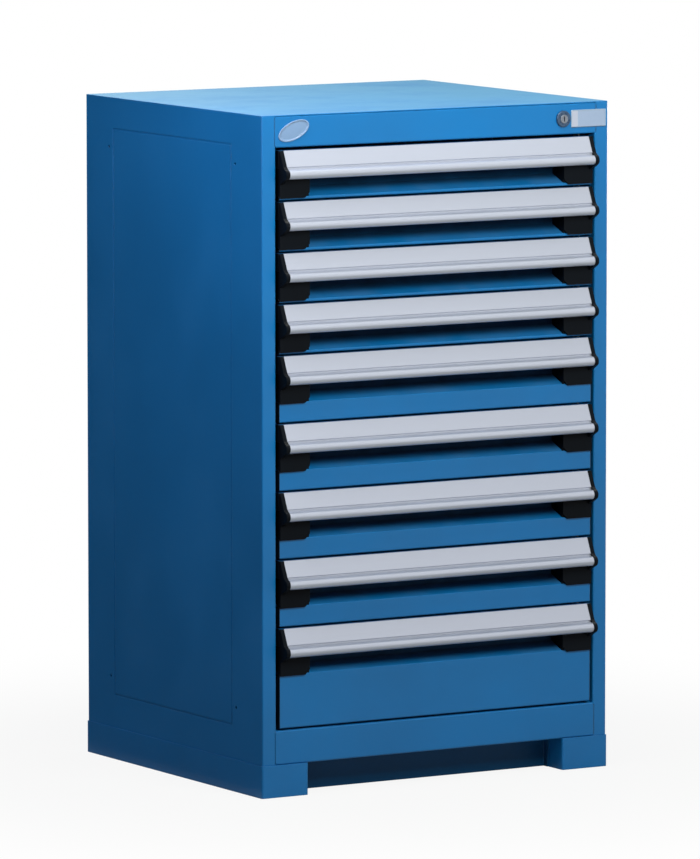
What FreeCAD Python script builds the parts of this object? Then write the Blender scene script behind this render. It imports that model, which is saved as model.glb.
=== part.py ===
import FreeCAD, Part
import math
import os
from FreeCAD import Vector

# Modular drawer cabinet: a welded sheet-metal housing on a plinth, with nine full-extension
# drawers that ride on two-stage roller slides, and one central lock.
# Millimetres. +X is the right side seen from the front, -Y is the front, +Z is up.
# The origin is on the floor, under the middle of the plinth.

# Housing and plinth
CABINET_WIDTH = 609.6
CABINET_DEPTH = 533.4
BASE_HEIGHT = 48.5
BASE_PROUD = 1.5
SILL_HEIGHT = 51.4
HEADER_HEIGHT = 48.0
STILE_WIDTH = 23.7
HOUSING_SHEET = 1.5
HOUSING_BEND = 1.0
STILE_RETURN = 16.5
FRONT_RAIL_RETURN = 20.0
HOUSING_FLANGE = 15.0
TOP_EDGE_ROUND = 0.9

# Shallow bead pressed into each side panel, and the holes for joining cabinets side by side
BEAD_FRONT_INSET = 90.0
BEAD_REAR_INSET = 85.0
BEAD_WIDTH = 3.0
BEAD_DEPTH = 0.7
JOINING_HOLE_RADIUS = 2.25
JOINING_HOLE_INSET = 77.7
JOINING_SPACING_Y = 381.0
JOINING_SPACING_Z = 812.8

# Drawers, counted from the top, in units of height
UNIT = 25.4
DRAWER_UNITS = (3, 3, 3, 3, 4, 4, 4, 4, 6)
HEADER_GAP = 4.5
FRONT_GAP = 3.0
SIDE_GAP = 5.6
DRAWER_SHEET = 1.2
DRAWER_BEND = 0.8
LEAST_BEND = 0.05
BEND_SHARE = 0.48
FRONT_FLANGE = 12.0
HANDLE_SEAT_HEIGHT = 26.0
RECESS_DEPTH = 30.0
RECESS_BACK_DROP = 56.0
RECESS_FOLD_DROP = 68.5
TRAY_TOP_DROP = 5.0
TRAY_RIM = 9.0
TRAY_REAR_SPACE = 37.8
DIVIDER_SLOT_WIDTH = 2.4
DIVIDER_SLOT_HEIGHT = 30.0
DIVIDER_SLOT_DROP = 14.0
DIVIDER_SLOT_MARGIN = 20.0

# Handle extrusion, in front of the drawer front
HANDLE_TOP_REACH = 1.6
HANDLE_FACE_REACH = 12.2
HANDLE_FACE_HEIGHT = 23.6
HANDLE_GROOVE_DEPTH = 1.0
HANDLE_GROOVE_HEIGHT = 1.8
HANDLE_REACH = 21.8
HANDLE_HEIGHT = 42.0
HANDLE_WALL = 1.8
LIP_RADIUS = 7.2
LIP_THICKNESS = 2.6
LIP_START = 80.0
LIP_END = 255.0

# Plastic end pieces of the handle
CAP_WALL = 6.4
CAP_MARGIN = 0.7
CAP_FIT = 0.2
CAP_SPIGOT = 9.0
CAP_NOSE_START = 105.0
CAP_NOSE_END = 250.0
CAP_FOOT_DROP = 50.0
BLOCK_WIDTH = 51.0
BLOCK_PROUD = 3.0
BLOCK_BELOW_FOLD = 2.3
BLOCK_CHAMFER = 8.0

# Slides: fixed rail on the uprights, roller carriage, rail on the drawer
SLIDE_DROP = 38.0
CHANNEL_HEIGHT = 32.0
CHANNEL_SHEET = 2.0
CHANNEL_BEND = 1.5
FIXED_RAIL_DEPTH = 22.0
DRAWER_RAIL_DEPTH = 20.5
BEAM_SHEET = 3.0
BEAM_HEIGHT = 30.0
BEAM_GAP = 1.5
BEAM_END_RADIUS = 8.0
ROLLER_PLAY = 0.3
ROLLER_WIDTH = 15.0
ROLLER_SIDE_PLAY = 0.5
ROLLER_BORE_PLAY = 0.05
PIN_RADIUS = 4.0
PIN_HEAD_RADIUS = 6.5
PIN_HEAD = 1.2
STOP_THICKNESS = 2.0
STOP_LENGTH = 14.0
STOP_HEIGHT = 16.0
STOP_PLAY = 1.5
END_MARGIN = 4.0
ROLLER_EDGE = 1.0
BUMPER_LENGTH = 10.0
BUMPER_EDGE = 1.5
BUMPER_PLAY = 0.3
FIXED_RAIL_SETBACK = 56.0
FIXED_RAIL_REAR_SPACE = 6.0
CARRIAGE_SETBACK = 34.0
CARRIAGE_REAR_SPACE = 27.0

# Slotted uprights that carry the fixed rails
UPRIGHT_DEPTH = 23.5
UPRIGHT_WIDTH = 30.0
UPRIGHT_SHEET = 2.0
UPRIGHT_SETBACK = 54.0
HOOK_LENGTH = 14.0
HOOK_SHEET = 2.0
HOOK_LIP = 4.0
HOOK_INSET = 5.0
SLOT_PLAY = 0.3
SLOT_ENTRY = 7.5

# Plinth
BASE_SHEET = 2.0
BASE_BEND = 1.5
BASE_FLANGE = 25.0
FOOT_WIDTH = 80.0
TOE_SPACE = 53.0
KICK_SHEET = 1.5
KICK_FLANGE = 12.0
BOLT_RADIUS = 4.0
BOLT_HOLE_RADIUS = 4.5
BOLT_HEAD_ACROSS = 13.0
BOLT_HEAD_HEIGHT = 5.3
BOLT_LENGTH = 16.0
WASHER_RADIUS = 8.0
WASHER_THICKNESS = 1.6
BOLT_INSET_X = 13.0
BOLT_INSET_Y = 60.0

# Central lock: barrel, plug with an eccentric pin, and a bar that the pin lifts
LOCK_INSET = 80.8
LOCK_DROP = 24.5
BEZEL_RADIUS = 12.5
BEZEL_ROUND = 1.6
BEZEL_PROUD = 3.5
BARREL_RADIUS = 9.5
BARREL_LENGTH = 20.0
PLUG_RADIUS = 6.5
PLUG_PLAY = 0.06
PLUG_PROUD = 0.8
PLUG_ROUND = 0.5
PLUG_DISC_GAP = 0.2
KEYHOLE_WIDTH = 2.0
KEYHOLE_HEIGHT = 7.5
KEYHOLE_DEPTH = 8.0
CAM_RADIUS = 11.0
CAM_THICKNESS = 2.0
CRANK_RADIUS = 7.0
CRANK_PIN_RADIUS = 2.5
CRANK_PIN_LENGTH = 9.0
CRANK_START = 45.0
YOKE_PLAY = 0.35
YOKE_RIM = 4.6
YOKE_SHEET = 2.5
YOKE_SETBACK = 26.0
LOCK_NUT_ACROSS = 26.0
LOCK_NUT_THICKNESS = 4.0
LOCK_HOLE_PLAY = 0.2
BAR_SHEET = 3.0
BAR_DEPTH = 14.0
BAR_SETBACK = 36.0
BAR_CLEAR = 1.9
FINGER_LENGTH = 10.4
FINGER_THICKNESS = 3.0
FINGER_SETBACK = 5.0
FINGER_HEIGHT = 12.0
CATCH_DROP = 40.0
CATCH_SHEET = 1.5
CATCH_HOOK = 12.0
CATCH_WIDTH = 10.0
CATCH_PLAY = 1.5
GUIDE_HEIGHT = 16.0
GUIDE_ARM = 2.0
GUIDE_REACH = 12.0
GUIDE_TAB = 10.0
GUIDE_PLAY = 0.3
GUIDE_DROP = 28.0

# Bare badge and bare label plate on the header, set in from the housing's sides
BADGE_INSET = 54.3
BADGE_DROP = 23.5
BADGE_LENGTH = 55.0
BADGE_HEIGHT = 27.0
BADGE_TILT = 22.0
BADGE_THICKNESS = 1.6
BADGE_ROUND = 0.9
LABEL_INSET = 35.5
LABEL_DROP = 25.0
LABEL_LENGTH = 62.0
LABEL_HEIGHT = 26.5
LABEL_THICKNESS = 0.8
LABEL_CORNER = 1.5

# How far a cutter runs past what it cuts
PAST = 1.0

# Places worked out from the sizes above
BODY_HALF = CABINET_WIDTH / 2 - BASE_PROUD
INNER_HALF = BODY_HALF - HOUSING_SHEET
OPENING_HALF = BODY_HALF - STILE_WIDTH
FRONT_Y = -CABINET_DEPTH / 2 + BASE_PROUD
BACK_Y = CABINET_DEPTH / 2 - BASE_PROUD
REAR_INNER_Y = BACK_Y - 2 * HOUSING_SHEET
OPENING_BOTTOM = BASE_HEIGHT + SILL_HEIGHT
OPENING_TOP = OPENING_BOTTOM + sum(DRAWER_UNITS) * UNIT + HEADER_GAP
CABINET_HEIGHT = OPENING_TOP + HEADER_HEIGHT
UNDER_TOP = CABINET_HEIGHT - HOUSING_SHEET
FLOOR_TOP = BASE_HEIGHT + 2 * HOUSING_SHEET
FRONT_HALF = OPENING_HALF - SIDE_GAP

UPRIGHT_FACE = INNER_HALF - UPRIGHT_DEPTH
UPRIGHT_TOP = UNDER_TOP - HOUSING_SHEET
FIXED_RAIL_TIP = UPRIGHT_FACE - FIXED_RAIL_DEPTH
BEAM_OUTER = FIXED_RAIL_TIP - BEAM_GAP
BEAM_INNER = BEAM_OUTER - BEAM_SHEET
DRAWER_RAIL_TIP = BEAM_INNER - BEAM_GAP
TRAY_OUTER = DRAWER_RAIL_TIP - DRAWER_RAIL_DEPTH
TRAY_INNER = TRAY_OUTER - DRAWER_SHEET

TRAY_START_Y = FRONT_Y + RECESS_DEPTH + DRAWER_SHEET
TRAY_END_Y = REAR_INNER_Y - TRAY_REAR_SPACE
TRAY_LENGTH = TRAY_END_Y - DRAWER_SHEET - TRAY_START_Y
CARRIAGE_TRAVEL = TRAY_LENGTH / 2
FIXED_RAIL_START_Y = FRONT_Y + FIXED_RAIL_SETBACK
FIXED_RAIL_END_Y = REAR_INNER_Y - FIXED_RAIL_REAR_SPACE
CARRIAGE_START_Y = FRONT_Y + CARRIAGE_SETBACK
CARRIAGE_END_Y = REAR_INNER_Y - CARRIAGE_REAR_SPACE
ROLLER_RADIUS = CHANNEL_HEIGHT / 2 - CHANNEL_SHEET - ROLLER_PLAY

LOCK_X = BODY_HALF - LOCK_INSET
BADGE_X = BADGE_INSET - BODY_HALF
LABEL_X = BODY_HALF - LABEL_INSET
LOCK_Z = CABINET_HEIGHT - LOCK_DROP
LOCK_THROW = 2 * CRANK_RADIUS * math.sin(math.radians(CRANK_START))
BAR_X = UPRIGHT_FACE - BAR_CLEAR - BAR_SHEET
BAR_Y = FRONT_Y + BAR_SETBACK
FINGER_Y = BAR_Y + FINGER_SETBACK
CATCH_HOOK_Y = FINGER_Y + FINGER_THICKNESS + CATCH_PLAY
FINGER_TOP_DROP = CATCH_DROP + CATCH_HOOK + CATCH_PLAY


def on_xy(z):
    """Place plan outlines at height z."""
    return lambda u, v: Vector(u, v, z)


def on_yz(x):
    """Place side-view outlines (y, z) at x."""
    return lambda u, v: Vector(x, u, v)


def on_xz(y):
    """Place front-view outlines (x, z) at y."""
    return lambda u, v: Vector(u, y, v)


def box(x0, x1, y0, y1, z0, z1):
    """Block between two corners."""
    return Part.makeBox(x1 - x0, y1 - y0, z1 - z0, Vector(x0, y0, z0))


def prism(points, place, sweep):
    """Straight-sided outline pushed along sweep."""
    corners = [place(u, v) for u, v in points]
    return Part.Face(Part.makePolygon(corners + corners[:1])).extrude(sweep)


def outline_solid(start, steps, place, sweep):
    """Outline of lines (end,) and arcs (through, end), pushed along sweep."""
    edges = []
    here = start
    for step in steps:
        end = step[-1]
        if len(step) == 2:
            edges.append(Part.Arc(place(*here), place(*step[0]), place(*end)).toShape())
        else:
            edges.append(Part.makeLine(place(*here), place(*end)))
        here = end
    edges.append(Part.makeLine(place(*here), place(*start)))
    return Part.Face(Part.Wire(edges)).extrude(sweep)


def directions(points):
    """Unit direction of each run of a bent line."""
    runs = []
    for (u0, v0), (u1, v1) in zip(points, points[1:]):
        length = math.hypot(u1 - u0, v1 - v0)
        runs.append(((u1 - u0) / length, (v1 - v0) / length))
    return runs


def offset_line(points, distance):
    """The bent line moved to its left by distance."""
    runs = directions(points)
    moved = []
    for i, (u, v) in enumerate(points):
        before = runs[max(i - 1, 0)]
        after = runs[min(i, len(runs) - 1)]
        share = distance / (1 + before[0] * after[0] + before[1] * after[1])
        moved.append((u - (before[1] + after[1]) * share, v + (before[0] + after[0]) * share))
    return moved


def bend_radii(points, thickness, bend):
    """Inner radius of each bend, kept short enough for the runs beside it."""
    runs = directions(points)
    lengths = [math.dist(a, b) for a, b in zip(points, points[1:])]
    radii = []
    for i in range(1, len(points) - 1):
        turn = math.acos(runs[i - 1][0] * runs[i][0] + runs[i - 1][1] * runs[i][1])
        half_run = BEND_SHARE * min(lengths[i - 1], lengths[i])
        room = half_run / math.tan(turn / 2) - thickness
        radii.append(max(LEAST_BEND, min(bend, room)))
    return radii


def rounded_path(points, thickness, radii, distance, place):
    """Edges along the bent line moved left by distance, with its corners rounded."""
    runs = directions(points)
    corners = offset_line(points, distance)
    edges = []
    here = corners[0]
    for i in range(1, len(points) - 1):
        before, after = runs[i - 1], runs[i]
        cross = before[0] * after[1] - before[1] * after[0]
        turn = math.acos(before[0] * after[0] + before[1] * after[1])
        radius = radii[i - 1] + (thickness - distance if cross > 0 else distance)
        tangent = radius * math.tan(turn / 2)
        depth = radius / math.cos(turn / 2) - radius
        toward = (after[0] - before[0], after[1] - before[1])
        size = math.hypot(*toward)
        u, v = corners[i]
        arc_start = (u - before[0] * tangent, v - before[1] * tangent)
        arc_middle = (u + toward[0] / size * depth, v + toward[1] / size * depth)
        arc_end = (u + after[0] * tangent, v + after[1] * tangent)
        edges.append(Part.makeLine(place(*here), place(*arc_start)))
        edges.append(Part.Arc(place(*arc_start), place(*arc_middle), place(*arc_end)).toShape())
        here = arc_end
    edges.append(Part.makeLine(place(*here), place(*corners[-1])))
    return edges


def folded(points, thickness, bend, place, sweep):
    """Bent sheet: its outer face runs through points, its thickness lies to their left."""
    radii = bend_radii(points, thickness, bend)
    near = rounded_path(points, thickness, radii, 0, place)
    far = rounded_path(points, thickness, radii, thickness, place)
    ends = offset_line(points, thickness)
    first_cap = Part.makeLine(place(*ends[0]), place(*points[0]))
    last_cap = Part.makeLine(place(*points[-1]), place(*ends[-1]))
    loop = Part.Wire(Part.__sortEdges__(near + far + [first_cap, last_cap]))
    return Part.Face(loop).extrude(sweep)


def highest_face(shape):
    """Index of the face whose middle lies highest."""
    heights = [face.CenterOfMass.z for face in shape.Faces]
    return heights.index(max(heights))


def edges_along(shape, axis):
    """Straight edges that run along one axis: 0 for x, 1 for y, 2 for z."""
    return [
        e for e in shape.Edges
        if e.Curve.TypeId == "Part::GeomLine" and abs(e.Curve.Direction[axis]) > 0.999]


def edges_before(shape, y):
    """Edges that lie wholly in front of y."""
    return [e for e in shape.Edges if e.BoundBox.YMax < y]


def mirrored(shape):
    """The same piece for the other side."""
    return shape.mirror(Vector(0, 0, 0), Vector(1, 0, 0))


def hexagon(across, centre, place, sweep):
    """Hexagonal prism across its flats."""
    reach = across / math.sqrt(3)
    angles = [math.radians(60 * i) for i in range(6)]
    corners = [(centre[0] + reach * math.cos(a), centre[1] + reach * math.sin(a)) for a in angles]
    return prism(corners, place, sweep)


def one_solid(shape):
    """The single solid of a welded piece, with its split faces merged."""
    merged = shape.removeSplitter()
    return merged.Solids[0] if len(merged.Solids) == 1 else merged


def bead_ring(x, width, depth):
    """Rectangular ring along the pressed bead, from x towards the middle by depth."""
    y0 = FRONT_Y + BEAD_FRONT_INSET
    y1 = BACK_Y - BEAD_REAR_INSET
    z0, z1 = OPENING_BOTTOM, OPENING_TOP
    half = width / 2
    outer = box(x - depth, x, y0 - half, y1 + half, z0 - half, z1 + half)
    inner = box(x - depth, x, y0 + half, y1 - half, z0 + half, z1 - half)
    return outer.cut(inner)


def joining_holes():
    """Cutters for the four holes by which two cabinets are bolted side by side."""
    y0 = FRONT_Y + JOINING_HOLE_INSET
    z0 = (OPENING_BOTTOM + OPENING_TOP - JOINING_SPACING_Z) / 2
    return Part.makeCompound([
        Part.makeCylinder(
            JOINING_HOLE_RADIUS, HOUSING_SHEET + 2 * PAST, Vector(INNER_HALF - PAST, y, z),
            Vector(1, 0, 0))
        for y in (y0, y0 + JOINING_SPACING_Y) for z in (z0, z0 + JOINING_SPACING_Z)])


def side_panel():
    """Right side: stile with its return, side sheet with bead and holes, end flanges."""
    section = [
        (OPENING_HALF, FRONT_Y + STILE_RETURN),
        (OPENING_HALF, FRONT_Y),
        (BODY_HALF, FRONT_Y),
        (BODY_HALF, BACK_Y),
        (BODY_HALF - HOUSING_FLANGE, BACK_Y),
    ]
    height = Vector(0, 0, UNDER_TOP - BASE_HEIGHT)
    panel = folded(section, HOUSING_SHEET, HOUSING_BEND, on_xy(BASE_HEIGHT), height)
    for z in (BASE_HEIGHT, UNDER_TOP - HOUSING_SHEET):
        panel = panel.fuse(box(
            BODY_HALF - HOUSING_FLANGE, INNER_HALF + HOUSING_SHEET / 2,
            FRONT_Y + FRONT_RAIL_RETURN, REAR_INNER_Y, z, z + HOUSING_SHEET))
    joint = HOUSING_SHEET / 4
    raised = bead_ring(INNER_HALF + joint, BEAD_WIDTH + HOUSING_SHEET, BEAD_DEPTH + joint)
    panel = panel.fuse(raised).cut(bead_ring(BODY_HALF, BEAD_WIDTH, BEAD_DEPTH))
    return one_solid(panel.cut(joining_holes()).cut(bolt_holes(BASE_HEIGHT - PAST, FLOOR_TOP)))


def top_panel():
    """Flat top sheet with rounded outer corners and a softened edge."""
    sheet = box(-BODY_HALF, BODY_HALF, FRONT_Y, BACK_Y, UNDER_TOP, CABINET_HEIGHT)
    corner_radius = HOUSING_BEND + HOUSING_SHEET
    sheet = sheet.makeFillet(corner_radius, edges_along(sheet, 2))
    rim = sheet.Faces[highest_face(sheet)].Edges
    return sheet.makeFillet(TOP_EDGE_ROUND, rim)


def front_rail(bottom, top, upper_return, lower_return):
    """Folded cross rail between the stiles, with returns at its top and bottom."""
    section = [
        (FRONT_Y + upper_return, top),
        (FRONT_Y, top),
        (FRONT_Y, bottom),
        (FRONT_Y + lower_return, bottom),
    ]
    rail = folded(
        section, HOUSING_SHEET, HOUSING_BEND, on_yz(-OPENING_HALF), Vector(2 * OPENING_HALF, 0, 0))
    weld = weld_fill(bottom, top)
    return one_solid(rail.multiFuse([weld, mirrored(weld)]))


def weld_fill(bottom, top):
    """Weld ground flush: it fills the rounding of the stile beside a cross rail's end."""
    bend = HOUSING_BEND + HOUSING_SHEET
    beyond = 2 * bend
    strip = box(
        OPENING_HALF - PAST, OPENING_HALF + bend, FRONT_Y, FRONT_Y + bend,
        bottom + bend, top - bend)
    stile = [
        (OPENING_HALF, FRONT_Y + STILE_RETURN),
        (OPENING_HALF, FRONT_Y),
        (OPENING_HALF + beyond + PAST, FRONT_Y),
    ]
    bent = folded(
        stile, HOUSING_SHEET, HOUSING_BEND, on_xy(bottom), Vector(0, 0, top - bottom))
    behind = box(
        OPENING_HALF, OPENING_HALF + beyond, FRONT_Y + HOUSING_SHEET, FRONT_Y + beyond,
        bottom, top)
    return strip.cut(bent).cut(behind)


def header_rail():
    """Cross rail over the drawers, with the hole for the lock."""
    rail = front_rail(OPENING_TOP, UNDER_TOP, FRONT_RAIL_RETURN, STILE_RETURN)
    hole = Part.makeCylinder(
        BARREL_RADIUS + LOCK_HOLE_PLAY, HOUSING_SHEET + 2 * PAST,
        Vector(LOCK_X, FRONT_Y - PAST, LOCK_Z), Vector(0, 1, 0))
    return rail.cut(hole)


def sill_rail():
    """Cross rail under the drawers."""
    return front_rail(BASE_HEIGHT, OPENING_BOTTOM, STILE_RETURN, FRONT_RAIL_RETURN)


def back_panel():
    """Flat back sheet, welded inside the rear flanges of the sides."""
    half = INNER_HALF - HOUSING_BEND
    return box(-half, half, REAR_INNER_Y, BACK_Y - HOUSING_SHEET, BASE_HEIGHT, UNDER_TOP)


def bolt_places():
    """Plan positions of the bolts between housing and plinth."""
    x = INNER_HALF - BOLT_INSET_X
    front = FRONT_Y + UPRIGHT_SETBACK + UPRIGHT_WIDTH + BOLT_INSET_Y
    rear = REAR_INNER_Y - UPRIGHT_WIDTH - BOLT_INSET_Y
    return [(sx * x, y) for sx in (-1, 1) for y in (front, rear)]


def bolt_holes(bottom, top):
    """Cutters for the bolt holes between two heights."""
    return Part.makeCompound([
        Part.makeCylinder(BOLT_HOLE_RADIUS, top - bottom, Vector(x, y, bottom))
        for x, y in bolt_places()])


def bottom_panel():
    """Floor sheet of the housing, on the flanges of sides and sill."""
    sheet = box(
        -INNER_HALF, INNER_HALF, FRONT_Y + STILE_RETURN, REAR_INNER_Y,
        BASE_HEIGHT + HOUSING_SHEET, FLOOR_TOP)
    return sheet.cut(bolt_holes(BASE_HEIGHT, FLOOR_TOP + PAST))


def drawer_tops():
    """Height of the top edge of each drawer front, from the top drawer down."""
    tops = []
    top = OPENING_TOP - HEADER_GAP
    for units in DRAWER_UNITS:
        tops.append(top)
        top -= units * UNIT
    return tops


def hook_heights(slide_z):
    """Heights of the two hooks at each end of a fixed rail."""
    return (slide_z - UNIT / 2, slide_z + UNIT / 2)


def hook_starts():
    """Front edge of the hooks, at the front and at the rear uprights."""
    rear_upright_start = REAR_INNER_Y - UPRIGHT_WIDTH
    return (FRONT_Y + UPRIGHT_SETBACK + HOOK_INSET, rear_upright_start + HOOK_INSET)


def upright(start_y, hook_y):
    """Right-hand slotted upright: its web faces the drawers, its flanges meet the side."""
    section = [
        (INNER_HALF, start_y + UPRIGHT_WIDTH),
        (UPRIGHT_FACE, start_y + UPRIGHT_WIDTH),
        (UPRIGHT_FACE, start_y),
        (INNER_HALF, start_y),
    ]
    height = Vector(0, 0, UPRIGHT_TOP - FLOOR_TOP)
    post = folded(section, UPRIGHT_SHEET, CHANNEL_BEND, on_xy(FLOOR_TOP), height)
    slots = []
    z = drawer_tops()[0] - SLIDE_DROP + UNIT / 2
    while z > OPENING_BOTTOM:
        slots.append(box(
            UPRIGHT_FACE - PAST, UPRIGHT_FACE + UPRIGHT_SHEET + PAST,
            hook_y - SLOT_PLAY, hook_y + HOOK_LENGTH + SLOT_PLAY,
            z - HOOK_SHEET / 2 - SLOT_PLAY, z - HOOK_SHEET / 2 + SLOT_ENTRY))
        z -= UNIT
    return post.cut(Part.makeCompound(slots))


def channel(web_x, tip_x, y0, y1, z):
    """C-channel along y, with its web at web_x and its flanges reaching to tip_x."""
    half = CHANNEL_HEIGHT / 2
    section = [(tip_x, z + half), (web_x, z + half), (web_x, z - half), (tip_x, z - half)]
    if tip_x < web_x:
        section.reverse()
    return folded(section, CHANNEL_SHEET, CHANNEL_BEND, on_xz(y0), Vector(0, y1 - y0, 0))


def fixed_rail(slide_z):
    """Right-hand fixed rail with its front stop and the hooks that hang it on the uprights."""
    rail = channel(UPRIGHT_FACE, FIXED_RAIL_TIP, FIXED_RAIL_START_Y, FIXED_RAIL_END_Y, slide_z)
    web_inner = UPRIGHT_FACE - CHANNEL_SHEET
    stop = box(
        web_inner - STOP_LENGTH, web_inner + CHANNEL_SHEET / 2,
        FIXED_RAIL_START_Y, FIXED_RAIL_START_Y + STOP_THICKNESS,
        slide_z - STOP_HEIGHT / 2, slide_z + STOP_HEIGHT / 2)
    pieces = [stop]
    hook_back = UPRIGHT_FACE + UPRIGHT_SHEET + SLOT_PLAY
    for hook_y in hook_starts():
        for z in hook_heights(slide_z):
            arm = box(
                web_inner + CHANNEL_SHEET / 2, hook_back + HOOK_SHEET,
                hook_y, hook_y + HOOK_LENGTH, z - HOOK_SHEET / 2, z + HOOK_SHEET / 2)
            lip = box(
                hook_back, hook_back + HOOK_SHEET,
                hook_y, hook_y + HOOK_LENGTH, z - HOOK_SHEET / 2 - HOOK_LIP, z + HOOK_SHEET / 2)
            pieces += [arm, lip]
    return one_solid(rail.multiFuse(pieces))


def roller(inner_x, y, z):
    """Roller with its bore, from inner_x to the right."""
    body = Part.makeCylinder(ROLLER_RADIUS, ROLLER_WIDTH, Vector(inner_x, y, z), Vector(1, 0, 0))
    rims = [e for e in body.Edges if e.Curve.TypeId == "Part::GeomCircle"]
    body = body.makeFillet(ROLLER_EDGE, rims)
    bore = Part.makeCylinder(
        PIN_RADIUS + ROLLER_BORE_PLAY, ROLLER_WIDTH, Vector(inner_x, y, z), Vector(1, 0, 0))
    return body.cut(bore)


def pin(beam_x, outward, y, z):
    """Riveted pin from the beam face at beam_x, with a head beyond the roller."""
    shank_length = ROLLER_WIDTH + 2 * ROLLER_SIDE_PLAY
    root_x = beam_x - outward * BEAM_SHEET / 2
    axis = Vector(outward, 0, 0)
    shank = Part.makeCylinder(
        PIN_RADIUS, BEAM_SHEET / 2 + shank_length + PIN_HEAD / 2, Vector(root_x, y, z), axis)
    head_x = beam_x + outward * shank_length
    head = Part.makeCylinder(PIN_HEAD_RADIUS, PIN_HEAD, Vector(head_x, y, z), axis)
    return shank.fuse(head)


def outer_roller_places():
    """Where the rollers in the fixed rail sit, so that both stay in it at full travel."""
    front = FIXED_RAIL_START_Y + STOP_THICKNESS + STOP_PLAY + ROLLER_RADIUS + CARRIAGE_TRAVEL
    rear = CARRIAGE_END_Y - END_MARGIN - ROLLER_RADIUS
    return (front, rear)


def inner_roller_places():
    """Where the rollers in the drawer's rail sit, so that both stay in it at full travel."""
    front = CARRIAGE_START_Y + END_MARGIN + ROLLER_RADIUS
    rear = TRAY_END_Y - STOP_THICKNESS - STOP_PLAY - ROLLER_RADIUS - CARRIAGE_TRAVEL
    return (front, rear)


def carriage_side(slide_z):
    """Right-hand beam with its pins, and its four rollers."""
    beam = box(
        BEAM_INNER, BEAM_OUTER, CARRIAGE_START_Y, CARRIAGE_END_Y,
        slide_z - BEAM_HEIGHT / 2, slide_z + BEAM_HEIGHT / 2)
    beam = beam.makeFillet(BEAM_END_RADIUS, edges_along(beam, 0))
    pins = []
    rollers = []
    for y in outer_roller_places():
        pins.append(pin(BEAM_OUTER, 1, y, slide_z))
        rollers.append(roller(BEAM_OUTER + ROLLER_SIDE_PLAY, y, slide_z))
    for y in inner_roller_places():
        pins.append(pin(BEAM_INNER, -1, y, slide_z))
        rollers.append(roller(BEAM_INNER - ROLLER_SIDE_PLAY - ROLLER_WIDTH, y, slide_z))
    return [one_solid(beam.multiFuse(pins))] + rollers


def bumper(slide_z):
    """Rubber buffer at the rear of a right-hand fixed rail, just behind the carriage."""
    web_inner = UPRIGHT_FACE - CHANNEL_SHEET
    y0 = outer_roller_places()[1] + ROLLER_RADIUS + BUMPER_PLAY
    block = box(
        web_inner - STOP_LENGTH, web_inner, y0, y0 + BUMPER_LENGTH,
        slide_z - STOP_HEIGHT / 2, slide_z + STOP_HEIGHT / 2)
    return block.makeFillet(BUMPER_EDGE, edges_before(block, y0 + BUMPER_EDGE))


def front_line(top, height):
    """Side view of a drawer front, from its top flange round the finger recess to its foot."""
    return [
        (FRONT_Y + FRONT_FLANGE, top),
        (FRONT_Y, top),
        (FRONT_Y, top - HANDLE_SEAT_HEIGHT),
        (FRONT_Y + RECESS_DEPTH, top - HANDLE_SEAT_HEIGHT),
        (FRONT_Y + RECESS_DEPTH, top - RECESS_BACK_DROP),
        (FRONT_Y, top - RECESS_FOLD_DROP),
        (FRONT_Y, top - height),
        (FRONT_Y + FRONT_FLANGE, top - height),
    ]


def front_returns(top, height):
    """Side returns of a drawer front, above and below the recess, both ends."""
    half_sheet = DRAWER_SHEET / 2
    spans = [(top - HANDLE_SEAT_HEIGHT + half_sheet, top - half_sheet)]
    if height - RECESS_FOLD_DROP > FRONT_FLANGE:
        spans.append((top - height + half_sheet, top - RECESS_FOLD_DROP - half_sheet))
    returns = []
    for z0, z1 in spans:
        for x0 in (-FRONT_HALF, FRONT_HALF - DRAWER_SHEET):
            returns.append(box(
                x0, x0 + DRAWER_SHEET, FRONT_Y + half_sheet, FRONT_Y + FRONT_FLANGE, z0, z1))
    return returns


def tray_wall_outline(top, height):
    """Side view of a tray wall: it follows the inside of the front, then runs to the rear."""
    middle = offset_line(front_line(top, height), DRAWER_SHEET / 2)
    rim = top - TRAY_TOP_DROP
    floor = top - height + DRAWER_SHEET
    front_part = [(middle[1][0], rim)] + middle[2:6] + [(middle[6][0], floor)]
    return front_part + [(TRAY_END_Y, floor), (TRAY_END_Y, rim)]


def slot_positions(low, high):
    """Divider slots one unit apart, centred between low and high."""
    count = int((high - low) // UNIT) + 1
    first = (low + high - (count - 1) * UNIT) / 2
    return [first + i * UNIT for i in range(count)]


def divider_slots(top):
    """Cutters for the divider slots in the side walls and the rear wall."""
    z1 = top - DIVIDER_SLOT_DROP
    z0 = z1 - DIVIDER_SLOT_HEIGHT
    half = DIVIDER_SLOT_WIDTH / 2
    cutters = []
    for y in slot_positions(TRAY_START_Y + DIVIDER_SLOT_MARGIN, TRAY_END_Y - DIVIDER_SLOT_MARGIN):
        for side in (-1, 1):
            x0, x1 = sorted((side * (TRAY_INNER - PAST), side * (TRAY_OUTER + PAST)))
            cutters.append(box(x0, x1, y - half, y + half, z0, z1))
    for x in slot_positions(-TRAY_INNER + DIVIDER_SLOT_MARGIN, TRAY_INNER - DIVIDER_SLOT_MARGIN):
        cutters.append(box(
            x - half, x + half, TRAY_END_Y - DRAWER_SHEET - PAST, TRAY_END_Y + PAST, z0, z1))
    return Part.makeCompound(cutters)


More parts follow.
